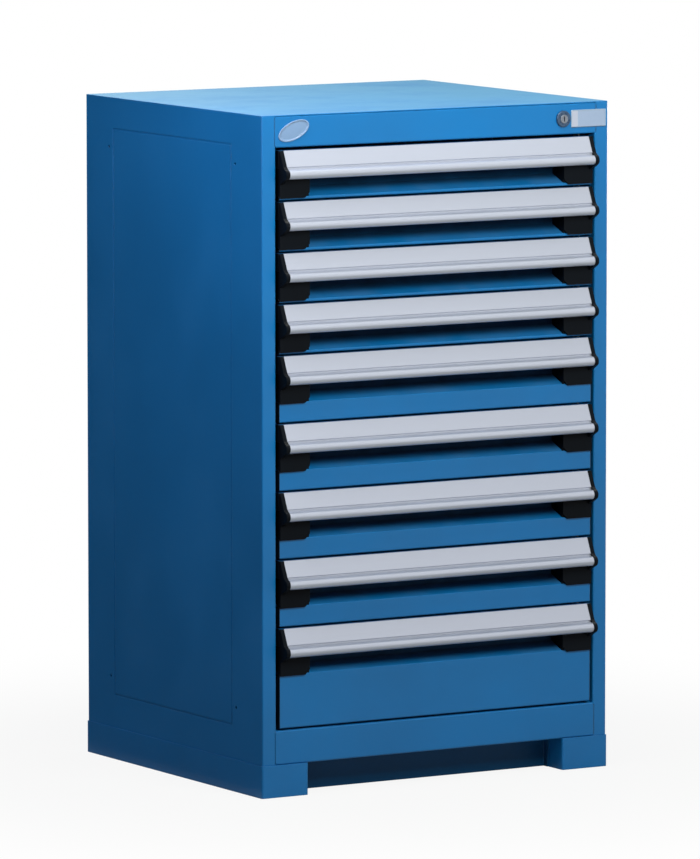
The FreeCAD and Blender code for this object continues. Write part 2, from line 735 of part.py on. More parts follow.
def tray(top, height):
    """Walls, floor and rim of a drawer, with divider slots."""
    wall = prism(
        tray_wall_outline(top, height), on_yz(TRAY_INNER), Vector(DRAWER_SHEET, 0, 0))
    rim = top - TRAY_TOP_DROP
    floor = top - height + DRAWER_SHEET
    bottom = box(
        -TRAY_OUTER, TRAY_OUTER, FRONT_Y + DRAWER_SHEET / 2, TRAY_END_Y, floor, floor + DRAWER_SHEET)
    rear = box(-TRAY_OUTER, TRAY_OUTER, TRAY_END_Y - DRAWER_SHEET, TRAY_END_Y, floor, rim)
    body = bottom.multiFuse([rear, wall, mirrored(wall)]).cut(divider_slots(top))
    side_rim = box(
        TRAY_INNER, TRAY_OUTER + TRAY_RIM, TRAY_START_Y, TRAY_END_Y, rim - DRAWER_SHEET, rim)
    rear_rim = box(
        -TRAY_OUTER - TRAY_RIM, TRAY_OUTER + TRAY_RIM,
        TRAY_END_Y - DRAWER_SHEET, TRAY_END_Y + TRAY_RIM, rim - DRAWER_SHEET, rim)
    return body.multiFuse([side_rim, mirrored(side_rim), rear_rim])


def drawer_rail(slide_z):
    """Right-hand rail welded to the tray, with the stop that ends its travel."""
    start_y = FRONT_Y + RECESS_DEPTH + DRAWER_SHEET / 2
    rail = channel(TRAY_OUTER, DRAWER_RAIL_TIP, start_y, TRAY_END_Y, slide_z)
    stop = box(
        TRAY_OUTER + CHANNEL_SHEET / 2, TRAY_OUTER + CHANNEL_SHEET + STOP_LENGTH,
        TRAY_END_Y - STOP_THICKNESS, TRAY_END_Y,
        slide_z - STOP_HEIGHT / 2, slide_z + STOP_HEIGHT / 2)
    return rail.fuse(stop)


def catch(top):
    """Hooked tab behind the recess, which the lock bar's finger holds."""
    plate_z = top - CATCH_DROP
    line = [
        (FRONT_Y + RECESS_DEPTH + DRAWER_SHEET / 2, plate_z),
        (CATCH_HOOK_Y + CATCH_SHEET, plate_z),
        (CATCH_HOOK_Y + CATCH_SHEET, plate_z - CATCH_HOOK),
    ]
    line.reverse()
    return folded(
        line, CATCH_SHEET, CATCH_SHEET / 2,
        on_yz(BAR_X - GUIDE_PLAY - CATCH_WIDTH - GUIDE_ARM), Vector(CATCH_WIDTH, 0, 0))


def drawer_body(top, height):
    """Welded drawer: front with finger recess, tray, both rails and the lock catch."""
    front = folded(
        front_line(top, height), DRAWER_SHEET, DRAWER_BEND,
        on_yz(-FRONT_HALF), Vector(2 * FRONT_HALF, 0, 0))
    rail = drawer_rail(top - SLIDE_DROP)
    pieces = front_returns(top, height) + [tray(top, height), rail, mirrored(rail), catch(top)]
    return one_solid(front.multiFuse(pieces))


def lip_point(top, radius, degrees):
    """Point on a circle about the middle of the handle's lip, 90 above it and 180 in front."""
    angle = math.radians(degrees)
    y = FRONT_Y - HANDLE_REACH + LIP_RADIUS + radius * math.cos(angle)
    return (y, top - HANDLE_HEIGHT + LIP_RADIUS + radius * math.sin(angle))


def handle_hollow(top, inset):
    """Three corners of the handle's chamber, inset from its outside."""
    slope = (HANDLE_FACE_REACH - HANDLE_TOP_REACH) / HANDLE_FACE_HEIGHT
    peak = (FRONT_Y, top + HANDLE_TOP_REACH / slope)
    front = (FRONT_Y - HANDLE_FACE_REACH, top - HANDLE_FACE_HEIGHT)
    back = (FRONT_Y, top - HANDLE_FACE_HEIGHT)
    return offset_line([back, peak, front, back, peak], inset)[1:4]


def handle(top):
    """Extruded handle: sloped face, groove, rounded lip, and a chamber behind the face."""
    groove_y = FRONT_Y - HANDLE_FACE_REACH + HANDLE_GROOVE_DEPTH
    groove_z = top - HANDLE_FACE_HEIGHT - HANDLE_GROOVE_DEPTH
    inner = LIP_RADIUS - LIP_THICKNESS
    middle = LIP_RADIUS - LIP_THICKNESS / 2
    half_turn = (LIP_START + LIP_END) / 2
    lip_tip = LIP_END + math.degrees(LIP_THICKNESS / 2 / middle)
    steps = [
        ((FRONT_Y - HANDLE_TOP_REACH, top),),
        ((FRONT_Y - HANDLE_FACE_REACH, top - HANDLE_FACE_HEIGHT),),
        ((groove_y, groove_z),),
        ((groove_y, groove_z - HANDLE_GROOVE_HEIGHT),),
        (lip_point(top, LIP_RADIUS, LIP_START),),
        (lip_point(top, LIP_RADIUS, half_turn), lip_point(top, LIP_RADIUS, LIP_END)),
        (lip_point(top, middle, lip_tip), lip_point(top, inner, LIP_END)),
        (lip_point(top, inner, half_turn), lip_point(top, inner, LIP_START)),
        ((FRONT_Y, top - HANDLE_SEAT_HEIGHT),),
    ]
    half = FRONT_HALF - CAP_WALL
    sweep = Vector(2 * half, 0, 0)
    body = outline_solid((FRONT_Y, top), steps, on_yz(-half), sweep)
    return body.cut(prism(handle_hollow(top, HANDLE_WALL), on_yz(-half), sweep))


def under_handle(top, reach):
    """Height of the handle's underside, reach in front of the drawer front."""
    y, z = lip_point(top, LIP_RADIUS - LIP_THICKNESS, LIP_START)
    seat = top - HANDLE_SEAT_HEIGHT
    return seat + (z - seat) * reach / (FRONT_Y - y)


def cap_plate(top, foot):
    """Plate over the end of the handle, with the handle's side view a little larger."""
    grown = LIP_RADIUS + CAP_MARGIN
    half_turn = (CAP_NOSE_START + CAP_NOSE_END) / 2
    back = FRONT_Y - CAP_FIT
    steps = [
        ((FRONT_Y - HANDLE_TOP_REACH - CAP_MARGIN, top),),
        ((FRONT_Y - HANDLE_FACE_REACH - CAP_MARGIN, top - HANDLE_FACE_HEIGHT),),
        (lip_point(top, grown, CAP_NOSE_START),),
        (lip_point(top, grown, half_turn), lip_point(top, grown, CAP_NOSE_END)),
        ((FRONT_Y - BLOCK_PROUD, top - CAP_FOOT_DROP),),
        ((FRONT_Y - BLOCK_PROUD, foot),),
        ((back, foot),),
    ]
    return outline_solid(
        (back, top), steps, on_yz(FRONT_HALF - CAP_WALL), Vector(CAP_WALL, 0, 0))


def recess_block(top, foot):
    """Block that closes the end of the finger recess, its lower inner corner cut off."""
    front = FRONT_Y - BLOCK_PROUD
    lip = FRONT_Y - CAP_FIT
    back = FRONT_Y + RECESS_DEPTH - CAP_FIT
    slope = (RECESS_FOLD_DROP - RECESS_BACK_DROP) / RECESS_DEPTH
    inner = FRONT_HALF - BLOCK_WIDTH
    side_view = [
        (front, under_handle(top, BLOCK_PROUD) - CAP_FIT),
        (FRONT_Y, top - HANDLE_SEAT_HEIGHT - CAP_FIT),
        (back, top - HANDLE_SEAT_HEIGHT - CAP_FIT),
        (back, top - RECESS_BACK_DROP),
        (lip, top - RECESS_FOLD_DROP + slope * CAP_FIT),
        (lip, foot),
        (front, foot),
    ]
    corner = [(inner, foot), (inner + BLOCK_CHAMFER, foot), (inner, foot + BLOCK_CHAMFER)]
    block = prism(side_view, on_yz(inner), Vector(BLOCK_WIDTH, 0, 0))
    return block.cut(prism(corner, on_xz(front), Vector(0, lip - front, 0)))


def end_cap(top):
    """Right-hand end piece: cap over the handle's end, spigot, and block in the recess."""
    foot = top - RECESS_FOLD_DROP - BLOCK_BELOW_FOLD
    spigot = prism(
        handle_hollow(top, HANDLE_WALL + CAP_FIT),
        on_yz(FRONT_HALF - CAP_WALL - CAP_SPIGOT), Vector(CAP_SPIGOT + PAST, 0, 0))
    return one_solid(cap_plate(top, foot).multiFuse([recess_block(top, foot), spigot]))


def base_frame():
    """Plinth: skirt with two front feet, top flange, bottom flanges and bolt holes."""
    half_width = CABINET_WIDTH / 2
    half_depth = CABINET_DEPTH / 2
    foot_inner = half_width - FOOT_WIDTH
    toe_back = -half_depth + TOE_SPACE
    line = [
        (foot_inner, toe_back),
        (foot_inner, -half_depth),
        (half_width, -half_depth),
        (half_width, half_depth),
        (-half_width, half_depth),
        (-half_width, -half_depth),
        (-foot_inner, -half_depth),
        (-foot_inner, toe_back),
    ]
    skirt = folded(line, BASE_SHEET, BASE_BEND, on_xy(0), Vector(0, 0, BASE_HEIGHT))
    x1 = half_width - BASE_SHEET / 2
    y1 = half_depth - BASE_SHEET / 2
    flange_x = half_width - BASE_SHEET - BASE_FLANGE
    flange_y = half_depth - BASE_SHEET - BASE_FLANGE
    foot_x = foot_inner + BASE_SHEET / 2
    under_top = BASE_HEIGHT - BASE_SHEET
    pieces = []
    for z in (0, under_top):
        side_flange = box(flange_x, x1, toe_back, y1, z, z + BASE_SHEET)
        foot_plate = box(foot_x, x1, -y1, toe_back, z, z + BASE_SHEET)
        rear_flange = box(-x1, x1, flange_y, y1, z, z + BASE_SHEET)
        pieces += [side_flange, mirrored(side_flange), foot_plate, mirrored(foot_plate), rear_flange]
    pieces.append(box(
        -x1, x1, toe_back - KICK_SHEET, toe_back + BASE_FLANGE, under_top, BASE_HEIGHT))
    frame = skirt.multiFuse(pieces)
    return one_solid(frame.cut(bolt_holes(BASE_HEIGHT / 2, BASE_HEIGHT + PAST)))


def kick_plate():
    """Set-back plate between the feet, with end flanges against their inner returns."""
    inner = CABINET_WIDTH / 2 - FOOT_WIDTH
    back = -CABINET_DEPTH / 2 + TOE_SPACE
    line = [
        (inner, back - KICK_FLANGE),
        (inner, back),
        (-inner, back),
        (-inner, back - KICK_FLANGE),
    ]
    height = Vector(0, 0, BASE_HEIGHT - BASE_SHEET)
    return folded(line, KICK_SHEET, BASE_BEND, on_xy(0), height)


def base_bolts():
    """Four hexagon bolts with washers and nuts that hold the housing on its plinth."""
    solids = []
    up = Vector(0, 0, 1)
    head_z = FLOOR_TOP + WASHER_THICKNESS
    nut_z = BASE_HEIGHT - BASE_SHEET - BOLT_HEAD_HEIGHT
    hex_height = Vector(0, 0, BOLT_HEAD_HEIGHT)
    for x, y in bolt_places():
        shank = Part.makeCylinder(BOLT_RADIUS, BOLT_LENGTH, Vector(x, y, head_z - BOLT_LENGTH), up)
        head = hexagon(BOLT_HEAD_ACROSS, (x, y), on_xy(head_z), hex_height)
        washer = Part.makeCylinder(WASHER_RADIUS, WASHER_THICKNESS, Vector(x, y, FLOOR_TOP), up)
        nut = hexagon(BOLT_HEAD_ACROSS, (x, y), on_xy(nut_z), hex_height)
        solids += [shank.fuse(head), washer.cut(shank), nut.cut(shank)]
    return solids


def lock_barrel():
    """Lock housing: bezel in front of the header, threaded body behind it."""
    back = Vector(0, 1, 0)
    bezel = Part.makeCylinder(
        BEZEL_RADIUS, BEZEL_PROUD, Vector(LOCK_X, FRONT_Y - BEZEL_PROUD, LOCK_Z), back)
    bezel = bezel.makeFillet(BEZEL_ROUND, edges_before(bezel, FRONT_Y - BEZEL_ROUND))
    body = Part.makeCylinder(
        BARREL_RADIUS, BARREL_LENGTH + PAST, Vector(LOCK_X, FRONT_Y - PAST, LOCK_Z), back)
    bore = Part.makeCylinder(
        PLUG_RADIUS + PLUG_PLAY, BARREL_LENGTH + BEZEL_PROUD + 2 * PAST,
        Vector(LOCK_X, FRONT_Y - BEZEL_PROUD - PAST, LOCK_Z), back)
    return one_solid(bezel.fuse(body).cut(bore))


def lock_nut():
    """Hexagon nut that clamps the barrel to the header."""
    nut = hexagon(
        LOCK_NUT_ACROSS, (LOCK_X, LOCK_Z), on_xz(FRONT_Y + HOUSING_SHEET),
        Vector(0, LOCK_NUT_THICKNESS, 0))
    bore = Part.makeCylinder(
        BARREL_RADIUS, LOCK_NUT_THICKNESS + 2 * PAST,
        Vector(LOCK_X, FRONT_Y + HOUSING_SHEET - PAST, LOCK_Z), Vector(0, 1, 0))
    return nut.cut(bore)


def lock_plug():
    """Turning plug with its keyhole, and the disc and eccentric pin on its rear end."""
    back = Vector(0, 1, 0)
    front_y = FRONT_Y - BEZEL_PROUD - PLUG_PROUD
    disc_y = FRONT_Y + BARREL_LENGTH + PLUG_DISC_GAP
    plug = Part.makeCylinder(
        PLUG_RADIUS, disc_y - front_y + CAM_THICKNESS / 2, Vector(LOCK_X, front_y, LOCK_Z), back)
    plug = plug.makeFillet(PLUG_ROUND, edges_before(plug, front_y + PLUG_ROUND))
    keyhole = box(
        LOCK_X - KEYHOLE_WIDTH / 2, LOCK_X + KEYHOLE_WIDTH / 2,
        front_y - PAST, front_y + KEYHOLE_DEPTH,
        LOCK_Z - KEYHOLE_HEIGHT / 2, LOCK_Z + KEYHOLE_HEIGHT / 2)
    disc = Part.makeCylinder(CAM_RADIUS, CAM_THICKNESS, Vector(LOCK_X, disc_y, LOCK_Z), back)
    start = math.radians(CRANK_START)
    pin_place = Vector(
        LOCK_X + CRANK_RADIUS * math.cos(start), disc_y + CAM_THICKNESS / 2,
        LOCK_Z - CRANK_RADIUS * math.sin(start))
    crank_pin = Part.makeCylinder(CRANK_PIN_RADIUS, CRANK_PIN_LENGTH, pin_place, back)
    return one_solid(plug.cut(keyhole).multiFuse([disc, crank_pin]))


def lock_bar():
    """Lifting bar: yoke behind the lock, strip down the right side, one finger a drawer."""
    tops = drawer_tops()
    start = math.radians(CRANK_START)
    pin_z = LOCK_Z - CRANK_RADIUS * math.sin(start)
    yoke_y = FRONT_Y + YOKE_SETBACK
    slot_half = CRANK_PIN_RADIUS + YOKE_PLAY
    slot_x = LOCK_X + CRANK_RADIUS * math.cos(start) - 2 * slot_half
    z0 = pin_z - slot_half - YOKE_RIM
    z1 = pin_z + slot_half + YOKE_RIM
    yoke = box(
        slot_x - YOKE_RIM, BAR_X + BAR_SHEET / 2, yoke_y, yoke_y + YOKE_SHEET, z0, z1)
    slot = box(
        slot_x, LOCK_X + CRANK_RADIUS + 2 * slot_half,
        yoke_y - PAST, yoke_y + YOKE_SHEET + PAST, pin_z - slot_half, pin_z + slot_half)
    link = box(BAR_X, BAR_X + BAR_SHEET, yoke_y, BAR_Y + BAR_DEPTH, z0, z1)
    bar_low = tops[-1] - FINGER_TOP_DROP - FINGER_HEIGHT - END_MARGIN
    strip = box(BAR_X, BAR_X + BAR_SHEET, BAR_Y, BAR_Y + BAR_DEPTH, bar_low, z1)
    fingers = []
    for top in tops:
        finger_top = top - FINGER_TOP_DROP
        fingers.append(box(
            BAR_X - FINGER_LENGTH, BAR_X + BAR_SHEET / 2, FINGER_Y, FINGER_Y + FINGER_THICKNESS,
            finger_top - FINGER_HEIGHT, finger_top))
    return one_solid(yoke.cut(slot).multiFuse([link, strip] + fingers))


def lock_bar_guides():
    """Guides on the front right upright that keep the lock bar upright."""
    tops = drawer_tops()
    upright_front = FRONT_Y + UPRIGHT_SETBACK
    inner_x = BAR_X - GUIDE_PLAY - GUIDE_ARM
    outer_x = BAR_X + BAR_SHEET + GUIDE_PLAY
    seat_y = BAR_Y + BAR_DEPTH + GUIDE_PLAY
    arm_y = upright_front - GUIDE_REACH
    guides = []
    for top in (tops[0], tops[len(tops) // 2], tops[-1]):
        z0 = top - GUIDE_DROP
        z1 = z0 + GUIDE_HEIGHT
        plate = box(inner_x, outer_x + GUIDE_ARM + GUIDE_TAB, seat_y, upright_front, z0, z1)
        inner_arm = box(inner_x, inner_x + GUIDE_ARM, arm_y, seat_y, z0, z1)
        outer_arm = box(outer_x, outer_x + GUIDE_ARM, arm_y, seat_y, z0, z1)
        guides.append(one_solid(plate.multiFuse([inner_arm, outer_arm])))
    return guides


def badge():
    """Bare oval badge with a rounded rim, tilted."""
    rim = Part.Ellipse(Vector(0, 0, 0), BADGE_LENGTH / 2, BADGE_HEIGHT / 2).toShape()
    plate = Part.Face(Part.Wire(rim)).extrude(Vector(0, 0, BADGE_THICKNESS))
    plate = plate.makeFillet(BADGE_ROUND, plate.Faces[highest_face(plate)].Edges)
    plate.rotate(Vector(0, 0, 0), Vector(0, 0, 1), BADGE_TILT)
    plate.rotate(Vector(0, 0, 0), Vector(1, 0, 0), 90)
    plate.translate(Vector(BADGE_X, FRONT_Y, CABINET_HEIGHT - BADGE_DROP))
    return plate


def label_plate():
    """Bare rectangular plate beside the lock."""
    z = CABINET_HEIGHT - LABEL_DROP
    plate = box(
        LABEL_X - LABEL_LENGTH / 2, LABEL_X + LABEL_LENGTH / 2, FRONT_Y - LABEL_THICKNESS, FRONT_Y,
        z - LABEL_HEIGHT / 2, z + LABEL_HEIGHT / 2)
    return plate.makeFillet(LABEL_CORNER, edges_along(plate, 1))


def save(name, *shapes):
    """Write one node from one or more separate solids."""
    solids = [solid for shape in shapes for solid in shape.Solids]
    piece = solids[0] if len(solids) == 1 else Part.makeCompound(solids)
    if not piece.isValid():
        raise ValueError(name + " is not a valid shape")
    piece.exportStep(os.path.join("parts", name + ".step"))
    print(name, len(solids), round(piece.Volume / 1000, 2), "cm3")


def save_housing():
    """Casing, uprights and fixed rails."""
    side = side_panel()
    save("side_panel_right", side)
    save("side_panel_left", mirrored(side))
    save("top_panel", top_panel())
    save("back_panel", back_panel())
    save("bottom_panel", bottom_panel())
    save("header_rail", header_rail())
    save("sill_rail", sill_rail())
    front_post = upright(FRONT_Y + UPRIGHT_SETBACK, hook_starts()[0])
    rear_post = upright(REAR_INNER_Y - UPRIGHT_WIDTH, hook_starts()[1])
    save("upright_front_right", front_post)
    save("upright_front_left", mirrored(front_post))
    save("upright_rear_right", rear_post)
    save("upright_rear_left", mirrored(rear_post))
    rails = [fixed_rail(top - SLIDE_DROP) for top in drawer_tops()]
    save("fixed_rails_right", *rails)
    save("fixed_rails_left", *[mirrored(rail) for rail in rails])
    bumpers = [bumper(top - SLIDE_DROP) for top in drawer_tops()]
    save("drawer_bumpers", *bumpers, *[mirrored(block) for block in bumpers])


def save_plinth():
    """Plinth, its kick plate and the bolts up into the housing."""
    save("base_frame", base_frame())
    save("kick_plate", kick_plate())
    save("base_bolts", *base_bolts())


def save_lock():
    """Lock, its bar, and the two bare plates on the header."""
    save("lock_barrel", lock_barrel())
    save("lock_nut", lock_nut())
    save("lock_plug", lock_plug())
    save("lock_bar", lock_bar())
    save("lock_bar_guides", *lock_bar_guides())
    save("header_badge", badge())
    save("label_plate", label_plate())


def save_drawers():
    """Each drawer with its handle and end pieces, and the carriage that bears it."""
    for number, (top, units) in enumerate(zip(drawer_tops(), DRAWER_UNITS), 1):
        height = units * UNIT - FRONT_GAP
        save("drawer_%d_body" % number, drawer_body(top, height))
        save("drawer_%d_handle" % number, handle(top))
        cap = end_cap(top)
        save("drawer_%d_end_caps" % number, cap, mirrored(cap))
        side = carriage_side(top - SLIDE_DROP)
        save("carriage_%d" % number, *side, *[mirrored(piece) for piece in side])


os.makedirs("parts", exist_ok=True)
save_housing()
save_plinth()
save_lock()
save_drawers()
print("carriage travel", round(CARRIAGE_TRAVEL, 3), "mm, lock bar lift", round(LOCK_THROW, 3), "mm")
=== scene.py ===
import math

import bmesh
import bpy
from mathutils import Matrix, Vector


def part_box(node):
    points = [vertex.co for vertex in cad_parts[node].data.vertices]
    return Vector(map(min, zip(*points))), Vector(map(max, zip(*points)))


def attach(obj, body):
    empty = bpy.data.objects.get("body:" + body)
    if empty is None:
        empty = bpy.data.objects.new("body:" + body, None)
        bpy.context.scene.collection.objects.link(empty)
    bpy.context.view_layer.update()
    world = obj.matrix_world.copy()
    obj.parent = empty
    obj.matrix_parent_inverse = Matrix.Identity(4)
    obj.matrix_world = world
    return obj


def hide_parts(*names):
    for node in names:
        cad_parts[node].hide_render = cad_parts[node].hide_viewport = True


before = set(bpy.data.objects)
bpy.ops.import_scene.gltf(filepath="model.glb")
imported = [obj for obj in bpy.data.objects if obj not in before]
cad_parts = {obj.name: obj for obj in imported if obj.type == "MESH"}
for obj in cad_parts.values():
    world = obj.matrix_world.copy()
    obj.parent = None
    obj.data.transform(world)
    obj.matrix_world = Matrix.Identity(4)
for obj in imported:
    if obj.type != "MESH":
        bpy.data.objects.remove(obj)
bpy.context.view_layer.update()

# A blue modular drawer cabinet: powder-coated housing and fronts, anodised handles,
# black end pieces, zinc-plated slides. Metres, +Z up, -Y out of the drawer fronts.

DRAWERS = 9

# Camera: where it stands, how far it is turned and tipped, its focal length in pixels, the photo's
# height in pixels, the sensor in millimetres, and the nearest and farthest it sees
CAMERA_PLACE = Vector((-6.093, -10.114, 1.868))
CAMERA_YAW = math.radians(31.10)
CAMERA_PITCH = math.radians(6.57)
FOCAL_PIXELS = 7787.0
PHOTO_HEIGHT_PIXELS = 859.0
SENSOR = 36.0
CLIP_NEAR = 0.5
CLIP_FAR = 200.0

# Colours, as linear light
PAINT_BLUE = (0.003, 0.135, 0.385)
PAINT_PALE = (0.035, 0.210, 0.475)
PAINT_DEEP = (0.003, 0.080, 0.260)
# Darker blue of the kick plate: painted shade, as it sits set back under the sill
KICK_PAINTED_SHADE = (0.003, 0.058, 0.160)
ALUMINIUM = (0.490, 0.515, 0.610)
ALUMINIUM_DARK = (0.405, 0.426, 0.510)
ALUMINIUM_RUBBED = (0.550, 0.570, 0.640)
# Black of the plastic end pieces, which also paints the drawer fronts' side edges black as painted shade
BLACK_PLASTIC_AND_PAINTED_SHADE = (0.003, 0.004, 0.006)
BLACK_WORN = (0.010, 0.011, 0.013)
ZINC = (0.560, 0.570, 0.580)
ZINC_DARK = (0.360, 0.370, 0.390)
BARE_METAL = (0.780, 0.780, 0.780)
CHROME = (0.260, 0.280, 0.325)
CHROME_DARK = (0.200, 0.220, 0.265)
# Lock bezel, nickel painted dark blue: painted shade and a painted reflection of the blue paint
BEZEL_PAINTED_SHADE = (0.080, 0.130, 0.210)
BEZEL_PAINTED_SHADE_DARK = (0.050, 0.085, 0.150)
# Navy painted shade at the back of the drawers' finger recesses
RECESS_PAINTED_SHADE = (0.003, 0.022, 0.056)
DUST = (0.420, 0.400, 0.370)
BADGE_RIM = (0.200, 0.290, 0.465)
BADGE_FIELD = (0.190, 0.295, 0.485)
PLATE_RIM = (0.330, 0.430, 0.560)
PLATE_FIELD = (0.305, 0.380, 0.545)
PLATE_SHADE = (0.060, 0.095, 0.160)
PLATE_TAB = (0.420, 0.440, 0.560)
RUBBER = (0.012, 0.012, 0.012)
BACKDROP = (0.520, 1.000, 1.000)
FLOOR_GREY = (0.400, 0.400, 0.400)
CARD_BLACK = (0.004, 0.004, 0.005)

# Powder coat: darkest and lightest tone as shares of its colour, and how pale its flecks are
PAINT_DARKER = 0.93
PAINT_LIGHTER = 1.06
FLECK_SHARE = 0.25

# Handles: share of their even colour laid over the tone of the drawn lines, and how rough and
# metallic their skin is
ALUMINIUM_EVENNESS = 0.65
HANDLE_ROUGHNESS = 0.26
HANDLE_METALLIC = 0.6

# Plate: cells of its spangle to the metre
SPANGLE_SCALE = 260.0

# Drawn lines: how much slower they change along the piece than across it
LINE_STRETCH = 0.004

# Plastic and rubber: lightest tone as a share of their colour, and how much they shine
PLASTIC_LIGHTER = 1.5
PLASTIC_SHINE = 0.06

# What dust lying on paint, and the back of the finger recess, add to the paint's roughness
DUST_ROUGHNESS = 0.35
RECESS_ROUGHNESS = 0.60

# Drawer front: half its width and its face, which all drawers share, its sheet, how deep its finger
# recess is, and how far in the painted shade of the recess begins
FRONT_LOW, FRONT_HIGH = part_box("drawer_1_body")
FRONT_HALF = FRONT_HIGH[0]
FRONT_Y = FRONT_LOW[1]
SHEET = 0.0012
RECESS_DEPTH = 0.0300
RECESS_MOUTH = 0.0022
RECESS_WALL_Y = FRONT_Y + RECESS_DEPTH
RECESS_MOUTH_Y = FRONT_Y + RECESS_MOUTH

# Oval badge on the header, how its rim is rounded and how its field is sunk and domed
BADGE_LENGTH = 0.055
BADGE_HEIGHT = 0.027
BADGE_TILT = math.radians(22)
BADGE_SEGMENTS = 96
BADGE_ROUND = 0.0005
BADGE_RIM_WIDTH = 0.0016
BADGE_STEP_WIDTH = 0.0003
BADGE_SINK = 0.0006
BADGE_CROWN = 0.0005
BADGE_RINGS = 6

# Name plate on the header: corners, raised border, the step down to its sunk part, the tab at the left,
# the low pads of tab and field, and the painted shadow along its lower border
PLATE_CORNER = 0.0015
PLATE_ROUND = 0.0002
PLATE_BORDER = 0.0009
PLATE_STEP_WIDTH = 0.0001
PLATE_SINK = 0.0003
PLATE_TAB_WIDTH = 0.012
PLATE_PAD_EDGE = 0.0004
PLATE_PAD_RISE = 0.0001
PLATE_SHADE_WIDTH = 0.0012

# Least height of a face's normal, before the plate is stood up, for a flat and for a shallow face
FLAT = 0.9
SHALLOW = 0.5

# Order of the materials on badge and plate
RIM, FIELD, TAB, SHADE = range(4)

# Surround: its light on the cabinet where no lamp reaches
SURROUND = 0.08

# Backdrop: how strongly it glows, for the top sheet to mirror
BACKDROP_GLOW = 1.15

# Floor: half its side, share of white that the camera sees near the cabinet and what is added
# further out, and the distances between which the camera's and the mirrored white grow
FLOOR_HALF = 60.0
FLOOR_WHITE_NEAR = 0.90
FLOOR_WHITE_RISE = 0.10
SEEN_FADE = (0.4, 1.3)
MIRRORED_FADE = (1.2, 3.0)

# Sockets of a node that mixes colours: share, first and second colour, and the mixed colour
MIX_INPUTS = (0, 6, 7)
MIX_OUTPUT = 2


# Shader nodes


def new_group(name, inputs, outputs):
    """Shader node group with named inputs and their defaults, and named outputs."""
    group = bpy.data.node_groups.new(name, "ShaderNodeTree")
    for label, kind, value in inputs:
        made = group.interface.new_socket(label, in_out="INPUT", socket_type=kind)
        made.default_value = value
    for label, kind in outputs:
        group.interface.new_socket(label, in_out="OUTPUT", socket_type=kind)
    return group


def add(tree, kind, **settings):
    """Node of one kind with its settings."""
    node = tree.nodes.new(kind)
    for key, value in settings.items():
        setattr(node, key, value)
    return node


def math_node(tree, operation, first, second=None, third=None):
    """Math node fed by sockets or numbers."""
    node = add(tree, "ShaderNodeMath", operation=operation)
    for index, value in enumerate((first, second, third)):
        if value is None:
            continue
        if isinstance(value, (int, float)):
            node.inputs[index].default_value = value
        else:
            tree.links.new(value, node.inputs[index])
    return node.outputs[0]


def smooth_step(tree, value, low, high):
    """0 below low, 1 above high, smooth between."""
    node = add(tree, "ShaderNodeMapRange", interpolation_type="SMOOTHSTEP")
    tree.links.new(value, node.inputs["Value"])
    node.inputs["From Min"].default_value = low
    node.inputs["From Max"].default_value = high
    return node.outputs[0]


def raised(tree, base, mask, amount):
    """A base value or socket with an amount of a mask added."""
    return math_node(tree, "MULTIPLY_ADD", mask, amount, base)


def noise(tree, vector, scale, detail, roughness=0.5):
    """Noise value on a vector. Its scale is about the number of waves to the metre."""
    node = add(tree, "ShaderNodeTexNoise")
    tree.links.new(vector, node.inputs["Vector"])
    if isinstance(scale, (int, float)):
        node.inputs["Scale"].default_value = scale
    else:
        tree.links.new(scale, node.inputs["Scale"])
    node.inputs["Detail"].default_value = detail
    node.inputs["Roughness"].default_value = roughness
    return node.outputs["Fac"]


def mix_colour(tree, share, first, second):
    """Colour between two colours or sockets, by the share of the second."""
    node = add(tree, "ShaderNodeMix", data_type="RGBA")
    for index, value in zip(MIX_INPUTS, (share, first, second)):
        if isinstance(value, (int, float)):
            node.inputs[index].default_value = value
        elif isinstance(value, tuple):
            node.inputs[index].default_value = (*value, 1.0)
        else:
            tree.links.new(value, node.inputs[index])
    return node.outputs[MIX_OUTPUT]


def tinted(colour, share):
    """Colour made darker or lighter by a share."""
    return tuple(share * part for part in colour)


# Effects that the finishes share


def powder_skin_group():
    """Orange-peel height, slow tone change and small pale flecks of a baked powder coat."""
    group = new_group(
        "powder_skin",
        [("Vector", "NodeSocketVector", (0, 0, 0)), ("Peel Scale", "NodeSocketFloat", 420.0)],
        [("Height", "NodeSocketFloat"), ("Tone", "NodeSocketFloat"), ("Fleck", "NodeSocketFloat")])
    source = add(group, "NodeGroupInput")
    target = add(group, "NodeGroupOutput")
    vector = source.outputs["Vector"]
    peel = noise(group, vector, source.outputs["Peel Scale"], detail=2.0)
    broad = noise(group, vector, scale=90.0, detail=2.0)
    height = raised(group, peel, broad, amount=0.5)
    cloud = noise(group, vector, scale=3.5, detail=4.0, roughness=0.6)
    tone = smooth_step(group, cloud, low=0.3, high=0.7)
    speck = noise(group, vector, scale=900.0, detail=1.0)
    fleck = smooth_step(group, speck, low=0.66, high=0.78)
    group.links.new(height, target.inputs["Height"])
    group.links.new(tone, target.inputs["Tone"])
    group.links.new(fleck, target.inputs["Fleck"])
    return group


